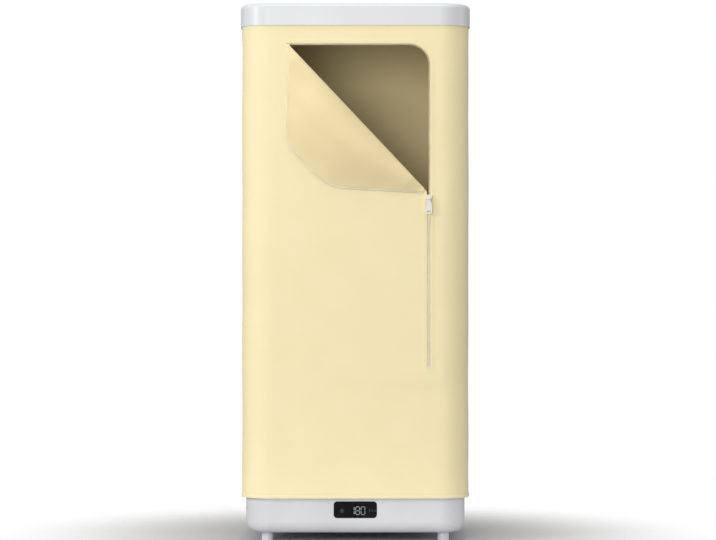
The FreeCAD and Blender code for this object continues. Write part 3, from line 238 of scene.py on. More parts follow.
def smoked_acrylic(name, colour):
    """Smoked acrylic: a polished, nearly black window with faint wiping marks in its gloss."""
    material, tree, shader, place = surface(name, colour, {"IOR": 1.49, "Specular IOR Level": 0.28})
    rough_range(tree, shader, place, 0.06, 0.16, 0.02)
    mottle(tree, shader, place, (colour, "#0d0d10"), 0.04)
    return material


def light_segments(name, colour, strength):
    """Light-emitting segments behind a diffuser: they glow evenly with a soft edge in the film."""
    material, tree, shader, place = surface(name, colour, {"Roughness": 0.4})
    shader.inputs["Emission Color"].default_value = linear(colour)
    glow = add_node(tree, "ShaderNodeTexNoise", {"Scale": 1 / (3 * MM), "Detail": 1.0}, {"Vector": place})
    level = {"To Min": 0.9 * strength, "To Max": 1.1 * strength}
    mapped = add_node(tree, "ShaderNodeMapRange", level, {"Value": glow.outputs["Fac"]})
    tree.links.new(mapped.outputs["Result"], shader.inputs["Emission Strength"])
    return material


def solder_mask(name, light, dark):
    """Circuit board: green solder mask with a faint pattern of copper tracks under it."""
    material, tree, shader, place = surface(name, light, {"Roughness": 0.35, "IOR": 1.5})
    tracks = add_node(
        tree, "ShaderNodeTexVoronoi", {"Scale": 1 / (5 * MM)}, {"Vector": place}, distance="MANHATTAN")
    two_tone(tree, shader, tracks.outputs["Distance"], (dark, light), (0.0, 0.35), "CONSTANT")
    grain_bump(tree, shader, place, 0.7 * MM, 0.02 * MM, 0.4)
    return material


def dress(material, *names):
    """Gives CAD nodes a material."""
    for name in names:
        mesh = frame["nodes"][name].data
        mesh.materials.clear()
        mesh.materials.append(material)


# ---- Mesh helpers -------------------------------------------------------------------------------------
def finished(name, bm, *materials, sharp=35.0):
    """New object from a bmesh, smooth except at edges sharper than the given angle in degrees."""
    mesh = bpy.data.meshes.new(name)
    bm.to_mesh(mesh)
    bm.free()
    for material in materials:
        mesh.materials.append(material)
    mesh.shade_smooth()
    mesh.set_sharp_from_angle(angle=math.radians(sharp))
    piece = bpy.data.objects.new(name, mesh)
    bpy.context.scene.collection.objects.link(piece)
    return piece


def applied(piece, sharp=35.0):
    """Puts the result of a piece's modifiers into its mesh."""
    graph = bpy.context.evaluated_depsgraph_get()
    mesh = bpy.data.meshes.new_from_object(
        piece.evaluated_get(graph), preserve_all_data_layers=True, depsgraph=graph)
    piece.modifiers.clear()
    piece.data = mesh
    mesh.shade_smooth()
    mesh.set_sharp_from_angle(angle=math.radians(sharp))
    return piece


def thickened(piece, thickness, offset):
    """Gives a sheet its thickness: offset -1 inwards, 0 both ways, 1 outwards."""
    wall = piece.modifiers.new("wall", "SOLIDIFY")
    wall.thickness = thickness
    wall.offset = offset
    wall.use_even_offset = True
    if len(piece.data.materials) > 1:
        wall.material_offset = 1
    return applied(piece)


def rounded_plan(bm):
    """Face in plan with the outline of the cover, a rounded rectangle round the Z axis."""
    made = bmesh.ops.create_grid(bm, x_segments=1, y_segments=1, size=0.5)
    bmesh.ops.scale(bm, vec=(WIDTH, DEPTH, 1), verts=made["verts"])
    bmesh.ops.bevel(
        bm, geom=made["verts"], offset=CORNER_R, offset_type="OFFSET", segments=ARC_STEPS_FLAT, profile=0.5,
        affect="VERTICES", material=-1)


def outward(point):
    """Level unit vector square to the cover at a point of it."""
    core = Vector((max(-STRAIGHT_X, min(STRAIGHT_X, point.x)), max(-STRAIGHT_Y, min(STRAIGHT_Y, point.y))))
    return Vector((point.x - core.x, point.y - core.y, 0)).normalized()


def along_wall(point):
    """Distance round the cover from the middle of its back, to the right as seen from outside."""
    x, y = abs(point.x), point.y
    turn = math.atan2(abs(abs(y) - STRAIGHT_Y), abs(x - STRAIGHT_X)) * CORNER_R
    if x <= STRAIGHT_X:
        half = x if y > 0 else ROUND_COVER / 2 - x
    elif abs(y) <= STRAIGHT_Y:
        half = STRAIGHT_X + CORNER_ARC + STRAIGHT_Y - y
    elif y > 0:
        half = STRAIGHT_X + CORNER_ARC - turn
    else:
        half = STRAIGHT_X + CORNER_ARC + 2 * STRAIGHT_Y + turn
    return half if point.x <= 0 else ROUND_COVER - half


def wall_point(distance, height, outside):
    """Point round the cover at a distance from the middle of its front, and the direction out of it there."""
    left = distance % ROUND_COVER
    corners = ((1, -1), (1, 1), (-1, 1), (-1, -1))
    straights = (STRAIGHT_X, 2 * STRAIGHT_Y, 2 * STRAIGHT_X, 2 * STRAIGHT_Y)
    for index, ((side, end), straight) in enumerate(zip(corners, straights)):
        centre = Vector((side * STRAIGHT_X, end * STRAIGHT_Y, height))
        angle = math.radians(90 * index - 90)
        if left <= straight:
            break
        left -= straight
        if left <= CORNER_ARC:
            up = Vector((math.cos(angle + left / CORNER_R), math.sin(angle + left / CORNER_R), 0))
            return centre + up * (CORNER_R + outside), up
        left -= CORNER_ARC
    else:
        # the left half of the front, up to its middle
        centre, angle, straight = Vector((0, -STRAIGHT_Y, height)), math.radians(-90), STRAIGHT_X
    up = Vector((math.cos(angle), math.sin(angle), 0))
    way = Vector((-up.y, up.x, 0))
    return centre + up * (CORNER_R + outside) - way * (straight - left), up


def wall_band(bm, rows, step=12 * MM):
    """Band of cloth round the cabinet through rows of (height, distance outside the cover's face)."""
    rounded_plan(bm)
    bmesh.ops.delete(bm, geom=bm.faces[:], context="FACES_ONLY")
    for edge in [e for e in bm.edges if e.calc_length() > 2 * step]:
        bmesh.ops.subdivide_edges(bm, edges=[edge], cuts=int(edge.calc_length() / step))
    ring = bm.edges[:]
    for vert in bm.verts:
        vert.co += outward(vert.co) * rows[0][1]
        vert.co.z = rows[0][0]
    for (_, near), (high, far) in zip(rows, rows[1:]):
        made = bmesh.ops.extrude_edge_only(bm, edges=ring)["geom"]
        ring = [e for e in made if isinstance(e, bmesh.types.BMEdge)]
        for vert in [v for v in made if isinstance(v, bmesh.types.BMVert)]:
            vert.co += outward(vert.co) * (far - near)
            vert.co.z = high
    bmesh.ops.recalc_face_normals(bm, faces=bm.faces[:])
    middle = max(bm.faces, key=lambda f: abs(f.calc_center_median().x))
    if middle.normal.dot(outward(middle.calc_center_median())) < 0:
        bmesh.ops.reverse_faces(bm, faces=bm.faces[:])


def cloth_map(piece, place):
    """UV map in metres of the flat cloth, from a function of a point of the piece."""
    layer = piece.data.uv_layers.get("cloth") or piece.data.uv_layers.new(name="cloth")
    for loop in piece.data.loops:
        layer.data[loop.index].uv = place(piece.data.vertices[loop.vertex_index].co)


def rounded_beads(bm, places, u_segments, v_segments):
    """Small ellipsoids at the given matrices, a few at a time because one long mesh is slow to add to."""
    holder = bpy.data.meshes.new("beads")
    for first in range(0, len(places), 24):
        few = bmesh.new()
        for place in places[first:first + 24]:
            bmesh.ops.create_uvsphere(
                few, u_segments=u_segments, v_segments=v_segments, radius=1, matrix=place)
        few.to_mesh(holder)
        few.free()
        bm.from_mesh(holder)
    bpy.data.meshes.remove(holder)


def turned_to(point, along, up, length, width, height):
    """Matrix that puts a unit ball at a point, with its three half sizes along, across and up."""
    across = up.cross(along).normalized()
    turned = Matrix((along.normalized(), across, up.normalized())).transposed().to_4x4()
    return Matrix.Translation(point) @ turned @ Matrix.Diagonal((length / 2, width / 2, height / 2, 1))


def stitched(name, spots):
    """Piece of sewn stitches: short rounded threads at (point, direction, outward direction)."""
    bm = bmesh.new()
    rounded_beads(bm, [turned_to(*spot, STITCH, THREAD, THREAD) for spot in spots], 6, 4)
    return finished(name, bm, sewing_thread())


def wall_spots(height, outside, pitch):
    """Spots for a row of stitches all round the cover at one height."""
    count = int(ROUND_COVER / pitch)
    points = [wall_point(index * ROUND_COVER / count, height, outside) for index in range(count)]
    return [(point, Vector((0, 0, 1)).cross(up), up) for point, up in points]


# ---- Doorway and peeled flap, in the fold's own directions --------------------------------------------
REVEAL = 5.0 * MM               # from the zip's line to the cover's edge
ZIP_LOW = FACING_LOW.z + 8 * MM  # lower end of the slit
DOOR_TOP = TEETH_HIGH.z - 3 * MM  # the zip's line along the top
DOOR_LEFT = TEETH_LOW.x
DOOR_R = 52.0 * MM
CLOTH = 1.6 * MM                # thickness of the cover
BINDING = 0.85 * MM
TAPE = 0.75 * MM
FLAP_TAPE = 0.7 * MM
TAPE_WIDTH = 13.0 * MM          # on each side of the zip's line
STITCH = 2.6 * MM               # length of each stitch
THREAD = 0.55 * MM
COVER_TUCK = 22.0 * MM          # height of cover that the lid's skirt hides
HEM = ((0.2, 0.05), (0.4, 0.4), (2.0, 0.8), (7.0, 0.8), (8.6, 0.5), (8.9, 0.05))  # height and depth, in mm
HEM_SEAM = 11.5 * MM            # height of the seam over the cover's lower edge
ZIP_SEAM = 10.0 * MM            # from the zip's line to the seam in its binding
SEAM_PITCH = 3.4 * MM
COIL_OUT = 1.6 * MM             # from the zip's line to the middle of an open coil
FOLD_START = Vector((DOOR_LEFT, FRONT_Y, DOOR_TOP))
FOLD_ALONG = -Vector(FOLD["axis"]).normalized()
FOLD_AWAY = Vector((FOLD_ALONG.z, 0, -FOLD_ALONG.x))
FOLD_LENGTH = (ZIP_X - DOOR_LEFT) / FOLD_ALONG.x
FOLD_LOW = FOLD_START.z + FOLD_ALONG.z * FOLD_LENGTH
FOLD_ANGLE = math.atan2(-FOLD_ALONG.z, FOLD_ALONG.x)
ROLL_W = 5.3 * MM               # the roll's middle, from the fold
ROLL_TOP = 10.3 * MM            # middle of the sheet at the top of the roll, in front of the cover
ROLL_RUN = math.pi * 5.55 * MM  # length of cloth round the roll
ROLL_LEAST = 0.3                # how full the roll stays at its two ends
TAPER = 45.0 * MM
LEFT_END = -6.0 * MM
RIGHT_END = 517.0 * MM
FLAP_REACH = 182.0 * MM         # from the fold to the cut-off corner
FLAP_CORNER_R = 110.0 * MM
EDGE_HEIGHT = 3.0 * MM          # of the sheet's middle over the cover along its free edges
EDGE_SPARE = 8.0 * MM           # by which the puff runs on past the free edge
PUFF = 29.0 * MM                # how far the peeled sheet stands off in the middle
PUFF_SCALE = 27 / 4             # so that the curve share * (1 - share) ** 2 peaks at 1
PUFF_LEAST = 22.5 * MM          # least width of the puff, at the two ends of the fold
CREASE = 200 * MM               # over which the two straight edges' slopes run into each other
CORNER_CREASE = 90 * MM         # the same towards the cut-off corner
CORNER_SPARE = 25 * MM
LEAD = 40 * MM                  # of cloth that moves from the pattern's place on to the roll
ARC_STEPS = 16                  # of the doorway's corner
ARC_STEPS_FLAT = 14             # of the cover's corners in plan and of the flap's in its pattern


def on_fold(v, w, h):
    """Point at v along the fold, w away from it over the cover and h in front of the cover."""
    return FOLD_START + FOLD_ALONG * v + FOLD_AWAY * w + Vector((0, -h, 0))


def fold_place(point):
    """How far along the fold, away from it and in front of the cover a point lies."""
    off = point - FOLD_START
    return off.dot(FOLD_ALONG), off.dot(FOLD_AWAY), -off.y


def taper(v):
    """How full the roll is at v along the fold: 1 in the middle, 0 where the zip holds the cloth flat."""
    return max(0.0, min(1.0, (v - LEFT_END) / TAPER, (RIGHT_END - v) / TAPER))


def corner_arc(offset):
    """Points on the doorway's rounded corner, moved outwards from the zip's line by offset."""
    centre = Vector((ZIP_X - DOOR_R, 0, DOOR_TOP - DOOR_R))
    points = []
    for step in range(ARC_STEPS + 1):
        angle = math.radians(90 * step / ARC_STEPS)
        points.append(centre + Vector((math.cos(angle), 0, math.sin(angle))) * (DOOR_R + offset))
    return points


def door_path(offset, low):
    """Points up the zip's line, round the doorway's corner and along its top, moved outwards by offset."""
    points = [Vector((ZIP_X + offset, FRONT_Y, low))]
    points += [Vector((p.x, FRONT_Y, p.z)) for p in corner_arc(offset)]
    points.append(Vector((DOOR_LEFT, FRONT_Y, DOOR_TOP + offset)))
    return points


def walk(points, pitch):
    """Evenly spaced (point, direction) along a line of points."""
    spots = []
    rest = pitch / 2
    for start, finish in zip(points, points[1:]):
        way = finish - start
        length = way.length
        if length < 1e-9:
            continue
        way.normalize()
        while rest <= length:
            spots.append((start + way * rest, way.copy()))
            rest += pitch
        rest -= length
    return spots


def cut(bm, faces, point, normal):
    """Splits the faces along a plane and returns them with their new neighbours."""
    geometry = dict.fromkeys(faces)  # each once, in an order that is the same in every run
    for face in faces:
        geometry.update(dict.fromkeys([*face.edges, *face.verts]))
    made = bmesh.ops.bisect_plane(bm, geom=list(geometry), dist=1e-7, plane_co=point, plane_no=normal)
    return [g for g in made["geom"] if isinstance(g, bmesh.types.BMFace)]


def open_doorway(bm):
    """Cuts the peeled-open corner of the doorway and the slit of the zip out of the front."""
    right = ZIP_X + REVEAL
    top = DOOR_TOP + REVEAL

    def front(x0, x1, z0, z1):
        """Faces of the front whose middles lie between the given edges."""
        found = []
        for face in bm.faces:
            c = face.calc_center_median()
            if c.y < FRONT_Y + 0.5 * MM and x0 < c.x < x1 and z0 < c.z < z1:
                found.append(face)
        return found

    margin = 40 * MM
    region = (DOOR_LEFT - margin, right + margin, FOLD_START.z - FOLD_LENGTH, top + margin)
    cut(bm, front(*region), Vector((right, 0, 0)), Vector((1, 0, 0)))
    cut(bm, front(*region), Vector((0, 0, top)), Vector((0, 0, 1)))
    region = (DOOR_LEFT - margin, right + margin, FOLD_LOW - margin, top + margin)
    edges = [(on_fold(0, ROLL_W, 0), FOLD_AWAY)]
    for start, finish in ((LEFT_END, LEFT_END + TAPER), (RIGHT_END, RIGHT_END - TAPER)):
        line = on_fold(finish, ROLL_W, 0) - on_fold(start, 0, 0)
        edges.append((on_fold(start, 0, 0), line.cross(Vector((0, 1, 0))).normalized()))
    edges.append((on_fold(0, 0, 0), FOLD_AWAY))
    for point, normal in edges:
        cut(bm, front(*region), point, normal)
    arc = corner_arc(REVEAL)
    corner = (right - 2 * DOOR_R, right + margin, top - 2 * DOOR_R, top + margin)
    for start, finish in zip(arc, arc[1:]):
        cut(bm, front(*corner), start, (finish - start).cross(Vector((0, 1, 0))).normalized())
    slit = (ZIP_X - margin, right + margin, ZIP_LOW - margin, FOLD_LOW + margin)
    cut(bm, front(*slit), Vector((ZIP_X - REVEAL, 0, 0)), Vector((1, 0, 0)))
    cut(bm, front(*slit), Vector((right, 0, 0)), Vector((1, 0, 0)))
    cut(bm, front(*slit), Vector((0, 0, ZIP_LOW)), Vector((0, 0, 1)))
    centre = Vector((ZIP_X - DOOR_R, 0, DOOR_TOP - DOOR_R))
    gone = []
    for face in front(*(region[0] - margin, region[1], ZIP_LOW, region[3])):
        c = face.calc_center_median()
        v, w, _ = fold_place(c)
        in_slit = abs(c.x - ZIP_X) < REVEAL and c.z < FOLD_LOW + REVEAL
        in_door = c.x < right and c.z < top and w < ROLL_W * taper(v) and c.z > FOLD_LOW - REVEAL
        past_x = c.x - centre.x
        past_z = c.z - centre.z
        if past_x > 0 and past_z > 0 and math.hypot(past_x, past_z) > DOOR_R + REVEAL:
            in_door = False
        if in_slit or in_door:
            gone.append(face)
    bmesh.ops.delete(bm, geom=gone, context="FACES")


# ---- Peeled flap: flat pattern and its place ----------------------------------------------------------
def pattern_outline(inset):
    """Points along the flap's free edge in its flat pattern, moved inwards from the zip's line."""
    reach = FLAP_REACH - inset
    radius = FLAP_CORNER_R - inset
    left = inset / math.sin(FOLD_ANGLE)
    right = FOLD_LENGTH - inset / math.cos(FOLD_ANGLE)
    slant = math.tan(FOLD_ANGLE)
    corners = [Vector(c) for c in (
        (left, 0.0), (left + reach / slant, reach), (right - reach * slant, reach), (right, 0.0))]
    points = [corners[0]]
    for near, corner, far in zip(corners, corners[1:], corners[2:]):
        before = (near - corner).normalized()
        after = (far - corner).normalized()
        half = before.angle(after) / 2
        centre = corner + (before + after).normalized() * (radius / math.sin(half))
        first = corner + before * (radius / math.tan(half)) - centre
        last = corner + after * (radius / math.tan(half)) - centre
        turn = math.atan2(first.x * last.y - first.y * last.x, first.dot(last))
        for step in range(ARC_STEPS_FLAT + 1):
            angle = turn * step / ARC_STEPS_FLAT
            c, s = math.cos(angle), math.sin(angle)
            points.append(centre + Vector((c * first.x - s * first.y, s * first.x + c * first.y)))
    return points + [corners[3]]


def split_evenly(points, pitch):
    """The same line with a point at least every pitch."""
    made = [points[0]]
    for start, finish in zip(points, points[1:]):
        count = max(1, math.ceil((finish - start).length / pitch))
        made += [start.lerp(finish, step / count) for step in range(1, count + 1)]
    return made


def soft_least(first, second, blend):
    """The smaller of two lengths, rounded over where they are nearly equal."""
    overlap = max(blend - abs(first - second), 0) / blend
    return min(first, second) - overlap ** 2 * blend / 4


def flap_point(v, w, ripple=0.0):
    """Place of the sheet's middle for a point of the pattern: w under 0 runs back round the roll."""
    full = max(ROLL_LEAST, taper(v))
    crown = (ROLL_TOP + CLOTH / 2) / 2 * full
    edge_w = ROLL_W * taper(v)
    base_h = -CLOTH / 2
    slant = math.tan(FOLD_ANGLE)
    edge = soft_least(max(v, 0) * slant, max(FOLD_LENGTH - v, 0) / slant, CREASE)
    edge = soft_least(edge, FLAP_REACH + CORNER_SPARE, CORNER_CREASE)
    end_w = max(edge + EDGE_SPARE, PUFF_LEAST)
    hump = PUFF * math.sin(math.pi * max(0, min(1, v / FOLD_LENGTH))) ** 2
    slope = math.atan(PUFF_SCALE * hump / (end_w - edge_w))
    start_w = edge_w - crown * math.sin(slope)
    start_h = base_h + crown + crown * math.cos(slope)
    if w < 0:
        turn = (1 + w / ROLL_RUN) * (math.pi - slope)
        return on_fold(v, edge_w - crown * math.sin(turn), base_h + crown - crown * math.cos(turn))
    across = start_w * (1 - w / LEAD) + w if w < LEAD else w
    share = max(0, min(1, (across - start_w) / (end_w - start_w)))
    fall = 3 * share ** 2 - 2 * share ** 3
    height = start_h + (EDGE_HEIGHT - start_h) * fall + PUFF_SCALE * hump * share * (1 - share) ** 2
    if ripple:
        swell = noise.noise(Vector((v, w, 0)) / (70 * MM))
        drift = 2 * noise.noise(Vector((v, w, 5)) / (90 * MM))
        height += ripple * math.sin(math.pi * share) * swell
        height += 0.5 * ripple * share * math.sin(w / (9 * MM) + drift)
    return on_fold(v, across, height)


def flap_up(v, w):
    """Direction out of the flap's upper side at a point of the pattern."""
    step = 1 * MM
    along = flap_point(v + step, w) - flap_point(v - step, w)
    across = flap_point(v, w + step) - flap_point(v, w - step)
    up = along.cross(across).normalized()
    return up if up.y < 0 or w < 0 else -up


def bend_with_fold(piece):
    """Puts the placement of a piece of the flap into its mesh."""
    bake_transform(piece)


# ---- Bands and coils ----------------------------------------------------------------------------------
def band(bm, inner, outer):
    """Flat band between two lines with the same number of points."""
    verts = [bm.verts.new(point) for point in inner]
    edges = [bm.edges.new(pair) for pair in zip(verts, verts[1:])]
    place = {tuple(round(c, 7) for c in near): far for near, far in zip(inner, outer)}
    made = bmesh.ops.extrude_edge_only(bm, edges=edges)["geom"]
    for vert in [v for v in made if isinstance(v, bmesh.types.BMVert)]:
        vert.co = place[tuple(round(c, 7) for c in vert.co)]


def face_front(bm):
    """Turns every face of a flat band to the front."""
    for face in bm.faces[:]:
        face.normal_update()
        if face.normal.y > 0:
            face.normal_flip()


def shifted(points, y):
    """The same points at another depth."""
    return [Vector((p.x, y, p.z)) for p in points]


def flat_spots(points, pitch):
    """Evenly spaced (point, direction, outward direction) along a line on the front."""
    return [(point, way, Vector((0, -1, 0))) for point, way in walk(points, pitch)]


def coil(name, spots, width, length, height, material):
    """Row of coil turns: rounded loops across the tape at (point, direction along the zip, outward)."""
    bm = bmesh.new()
    rounded_beads(bm, [turned_to(*spot, length, width, height) for spot in spots], 8, 5)
    return finished(name, bm, material)


def segment_bar(bm, x, z, y, length, width, upright):
    """One bar of a seven-segment character, with pointed ends."""
    made = bmesh.ops.create_cube(bm, size=1)
    size = (width, 0.1 * MM, length) if upright else (length, 0.1 * MM, width)
    bmesh.ops.scale(bm, vec=size, verts=made["verts"])
    bmesh.ops.translate(bm, vec=(x, y, z), verts=made["verts"])
    edges = {e for v in made["verts"] for e in v.link_edges}
    corner = [e for e in edges if abs(e.verts[0].co.y - e.verts[1].co.y) > 0.05 * MM]
    bmesh.ops.bevel(
        bm, geom=corner, offset=width * 0.45, offset_type="OFFSET", segments=1, profile=0.5, affect="EDGES",
        material=-1)


# ---- Finishes -----------------------------------------------------------------------------------------
def cover_cloth():
    # dull cream cloth: even and pale with a barely seen weave; its folds and puffs give the eye the form
    colours = bpy.context.scene.cabinet_colours
    return bpy.data.materials.get("Coated Oxford cloth") or coated_oxford(
        "Coated Oxford cloth", colours.cloth, "#f4e6b8", 0.78)


def lining_painted_shade():
    # inner side of the same cloth: uncoated and more matt; its deeper tone is painted shade for the peeled
    # flap and the cabinet's inside
    return bpy.data.materials.get("Oxford cloth lining, painted shade") or coated_oxford(
        "Oxford cloth lining, painted shade", "#eddcac", "#e9d8a7", 0.9)


def tape_cloth_painted_shade():
    # ribbed tape, duller and greyer than the cloth; its slightly darker tone is partly the tape's own and
    # partly painted shade, so that it edges the doorway with a darker line
    return bpy.data.materials.get("Woven zip tape, partly painted shade") or woven_tape("Woven zip tape, partly painted shade", "#f0e5c4", "#e6d9b4")


def coil_nylon_painted_highlight():
    # small shiny loops, coloured near-white as a painted highlight, so that a broken bright line runs down
    # the middle of the zip
    return bpy.data.materials.get("Nylon coil, painted highlight") or moulded(
        "Nylon coil, painted highlight", "#fdf9ec", "#f4ecd6", 0.35, grain=0.4 * MM, coat=0.1)


def open_coil_painted_shade():
    # the same loops along the open doorway, coloured darker and greyer than the closed run as painted shade,
    # so that they outline it
    return bpy.data.materials.get("Open nylon coil, painted shade") or moulded(
        "Open nylon coil, painted shade", "#c0b396", "#aa9d80", 0.45, grain=0.4 * MM)


def sewing_thread():
    # pale twisted thread: short raised dashes that catch the light along each seam
    return bpy.data.materials.get("Sewing thread") or woven_tape("Sewing thread", "#e9dcb4", "#d9cba2")


def dress_rigid_pieces():
    """Gives the lid, base, frame, fan, heater and screws their finishes."""
    colours = bpy.context.scene.cabinet_colours
    corners = ("front_left", "front_right", "rear_left", "rear_right")
    feet, lowers, uppers, couplers = [
        [name + corner for corner in corners]
        for name in ("foot_", "upright_lower_", "upright_upper_", "upright_coupler_")]
    # lid: clean white satin with a soft highlight along its top edge
    dress(moulded("Satin white ABS", colours.lid, "#d5d8d9", 0.38, coat=0.08), "lid_cap")
    # inner mouldings: plain light grey and duller than the lid
    dress(moulded("Light grey polypropylene", "#d3d4d6", "#c8c9cc", 0.5),
          "lid_frame", "rail_bracket_left", "rail_bracket_right", "lid_sockets", "deck_sockets",
          "base_deck", *couplers)
    # base and feet: light grey with a fine satin grain that spreads the highlight
    dress(moulded("Satin grey ABS", colours.base, "#cfcfd2", 0.42), "base_tray", *feet)
    # uprights: smooth white coat with a slight orange peel
    dress(enamelled("White powder coat", "#f1f1ef", "#e8e8e6", 0.35), *lowers, *uppers)
    # rail: mirror-bright plate with fine drawn lines along it
    dress(metal("Bright chrome plate", "#d9dadd", "#cccdd1", 0.1, (0.1, 1.0, 1.0)), "hanging_rail")
    # slider, pull and stop: soft grey enamel on a small casting
    dress(enamelled("Light grey enamel", "#e2e0d8", "#d6d4cc", 0.3),
          "zip_slider", "zip_pull", "zip_bottom_stop")
    # screws, shaft and motor: greyish zinc with a broken gleam
    dress(metal("Zinc plated steel", "#b9bbbd", "#a6a8ab", 0.28),
          "lid_screws", "bracket_screws", "base_screws", "foot_screws", "fan_screws", "fan_shaft",
          "fan_motor")
    # fan and grille: dark glass-filled plastic, dull with a faint grain
    dress(moulded("Glass filled nylon", "#1f2022", "#19191b", 0.55),
          "fan_shroud", "fan_impeller", "filter_frame", "outlet_grille")
    # gland: smooth black nylon with a small soft highlight
    dress(moulded("Black nylon", "#161617", "#111112", 0.4), "cable_gland")
    # foot pads: matt dark grey rubber that takes almost no highlight
    dress(moulded("Rubber", "#3a3a3b", "#303031", 0.85, grain=0.8 * MM, depth=0.05 * MM), "foot_pads")
    # filter: soft black sponge full of pores
    dress(open_foam("Open polyurethane foam", "#3c3c3c", "#0c0c0c"), "filter_foam")
    # heater frame: brown heat-resisting moulding, dull
    dress(moulded("Brown phenolic", "#5c4a40", "#4e3e35", 0.55), "heater_frame")
    # heater fins and cutout: bare rolled aluminium, softly bright
    dress(metal("Bare aluminium", "#c9cacc", "#babcbf", 0.3, (1.0, 0.1, 1.0)),
          "heater_fins", "thermal_cutout")
    # window: polished, nearly black, with a sharp reflection
    dress(smoked_acrylic("Smoked acrylic", "#060608"), "display_window")
    # display block behind it: plain black
    dress(moulded("Black display block", "#0e0e0f", "#0a0a0b", 0.6), "display_module")
    # boards: green mask with the tracks showing as a fine pattern
    dress(solder_mask("Green solder mask", "#1c6a3c", "#175830"), "control_board", "power_board")


# ---- Pieces -------------------------------------------------------------------------------------------
def settle(slot, *pieces):
    """Pieces that stay with the cabinet; the slot is not used."""
    for piece in pieces:
        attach(piece, "root")


def doorway_binding():
    """Binding sewn round the doorway and the slit on the cover's face, with its row of stitches."""
    face = FACING_LOW.y
    bm = bmesh.new()
    band(bm, shifted(door_path(REVEAL, ZIP_LOW), face), shifted(door_path(TAPE_WIDTH, ZIP_LOW), face))
    left = [Vector((ZIP_X - REVEAL, face, z)) for z in (ZIP_LOW, SLIDER_HIGH.z)]
    band(bm, left, [Vector((ZIP_X - TAPE_WIDTH, face, p.z)) for p in left])
    foot = [Vector((ZIP_X + side * TAPE_WIDTH, face, ZIP_LOW)) for side in (-1, 1)]
    band(bm, foot, [Vector((p.x, face, FACING_LOW.z)) for p in foot])
    face_front(bm)
    facing = thickened(finished("zip_binding", bm, cover_cloth()), BINDING, -1)
    cloth_map(facing, lambda point: (point.x, point.z))
    seam_y = face - 0.1 * MM
    right = shifted(door_path(ZIP_SEAM, ZIP_LOW), seam_y)
    left = [Vector((ZIP_X - ZIP_SEAM, seam_y, z)) for z in (ZIP_LOW, FOLD_LOW - 16 * MM)]
    stitches = stitched("zip_stitches", flat_spots(right, SEAM_PITCH) + flat_spots(left, SEAM_PITCH))
    settle("cover_fabric", facing, stitches)
    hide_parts("zip_facing")
    return facing, stitches


def sway(bm, low, high, depth):
    """Lets the cover belly in a little, all round but at its ends and by the doorway."""
    for vert in bm.verts:
        out = outward(vert.co)
        ends = min(1.0, (vert.co.z - low) / 0.06, (high - vert.co.z) / 0.06)
        by_door = DOOR_LEFT - 0.05 < vert.co.x < ZIP_X + 0.04 and vert.co.z > ZIP_LOW - 0.04
        if ends <= 0 or (out.y < -0.9 and by_door):
            continue
        wave = noise.noise(Vector((vert.co.x * 3, vert.co.y * 3, vert.co.z * 5)))
        wave += 0.4 * noise.noise(Vector((vert.co.x * 11, vert.co.y * 11, vert.co.z * 4)))
        vert.co += out * (wave - 0.7) * depth * ends


def make_cover():
    """Cover cloth round the cabinet with its doorway, slit and hems."""
    low, high = PANEL_LOW.z, PANEL_HIGH.z
    bm = bmesh.new()
    wall_band(bm, [(low + (high - low) * step / 100, 0.0) for step in range(101)])
    open_doorway(bm)
    sway(bm, low, high - COVER_TUCK, bpy.context.scene.cabinet_sizes.cloth_sway)
    # the cover's inner side takes the lining, whose deeper tone is painted shade
    cover = thickened(finished("cover_cloth", bm, cover_cloth(), lining_painted_shade()), CLOTH, -1)
    hem_bm = bmesh.new()
    wall_band(hem_bm, [(low + height * MM, out * MM) for height, out in HEM])
    binding = finished("cover_bottom_binding", hem_bm, cover_cloth())
    for piece in (cover, binding):
        cloth_map(piece, lambda point: (along_wall(point), point.z))
    stitches = stitched("cover_bottom_stitches", wall_spots(low + HEM_SEAM, 0.15 * MM, 3.6 * MM))
    settle("cover_fabric", cover, binding, stitches)
    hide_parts("cover_front", "cover_back", "cover_left", "cover_right", "cover_corners")
    doorway_binding()


def make_zip():
    """Tape and coils of the zip along the doorway and down the closed run."""
    low, back = FACING_LOW.z, PANEL_HIGH.y
    bm = bmesh.new()
    band(bm, shifted(door_path(0.0, low), back), shifted(door_path(TAPE_WIDTH, low), back))
    left = [Vector((ZIP_X, back, z)) for z in (low, SLIDER_HIGH.z)]
    band(bm, left, [Vector((ZIP_X - TAPE_WIDTH, back, p.z)) for p in left])
    face_front(bm)
    # doorway tape: its slightly darker tone is partly painted shade along the doorway's edge
    tape = thickened(finished("zip_side_tape", bm, tape_cloth_painted_shade()), TAPE, -1)
    pitch = bpy.context.scene.cabinet_sizes.tooth_pitch
    middle = (TEETH_LOW.y + TEETH_HIGH.y) / 2
    path = shifted(door_path(COIL_OUT, SLIDER_HIGH.z - 1 * MM), middle)
    # open coil: coloured darker as painted shade along the doorway's edge
    open_row = coil(
        "zip_open_coil", flat_spots(path, pitch), 3.0 * MM, 1.5 * MM, 2.4 * MM, open_coil_painted_shade())
    spots = []
    for side, start in ((-1, CHAIN_LOW.z), (1, CHAIN_LOW.z + pitch / 2)):
        run = [Vector((ZIP_X + side * 1.3 * MM, middle, z)) for z in (start, CHAIN_HIGH.z)]
        spots += flat_spots(run, pitch)
    # closed coil: its near-white colour is a painted highlight down the middle of the zip
    chain = coil("zip_closed_coil", spots, 3.6 * MM, 1.7 * MM, 2.7 * MM, coil_nylon_painted_highlight())
    settle("zip_tape_fabric", tape)
    settle("zip_teeth_nylon", open_row, chain)
    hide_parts("zip_tape")
    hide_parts("zip_teeth_open")
    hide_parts("zip_chain")
    edge = door_path(TAPE_WIDTH, ZIP_LOW)


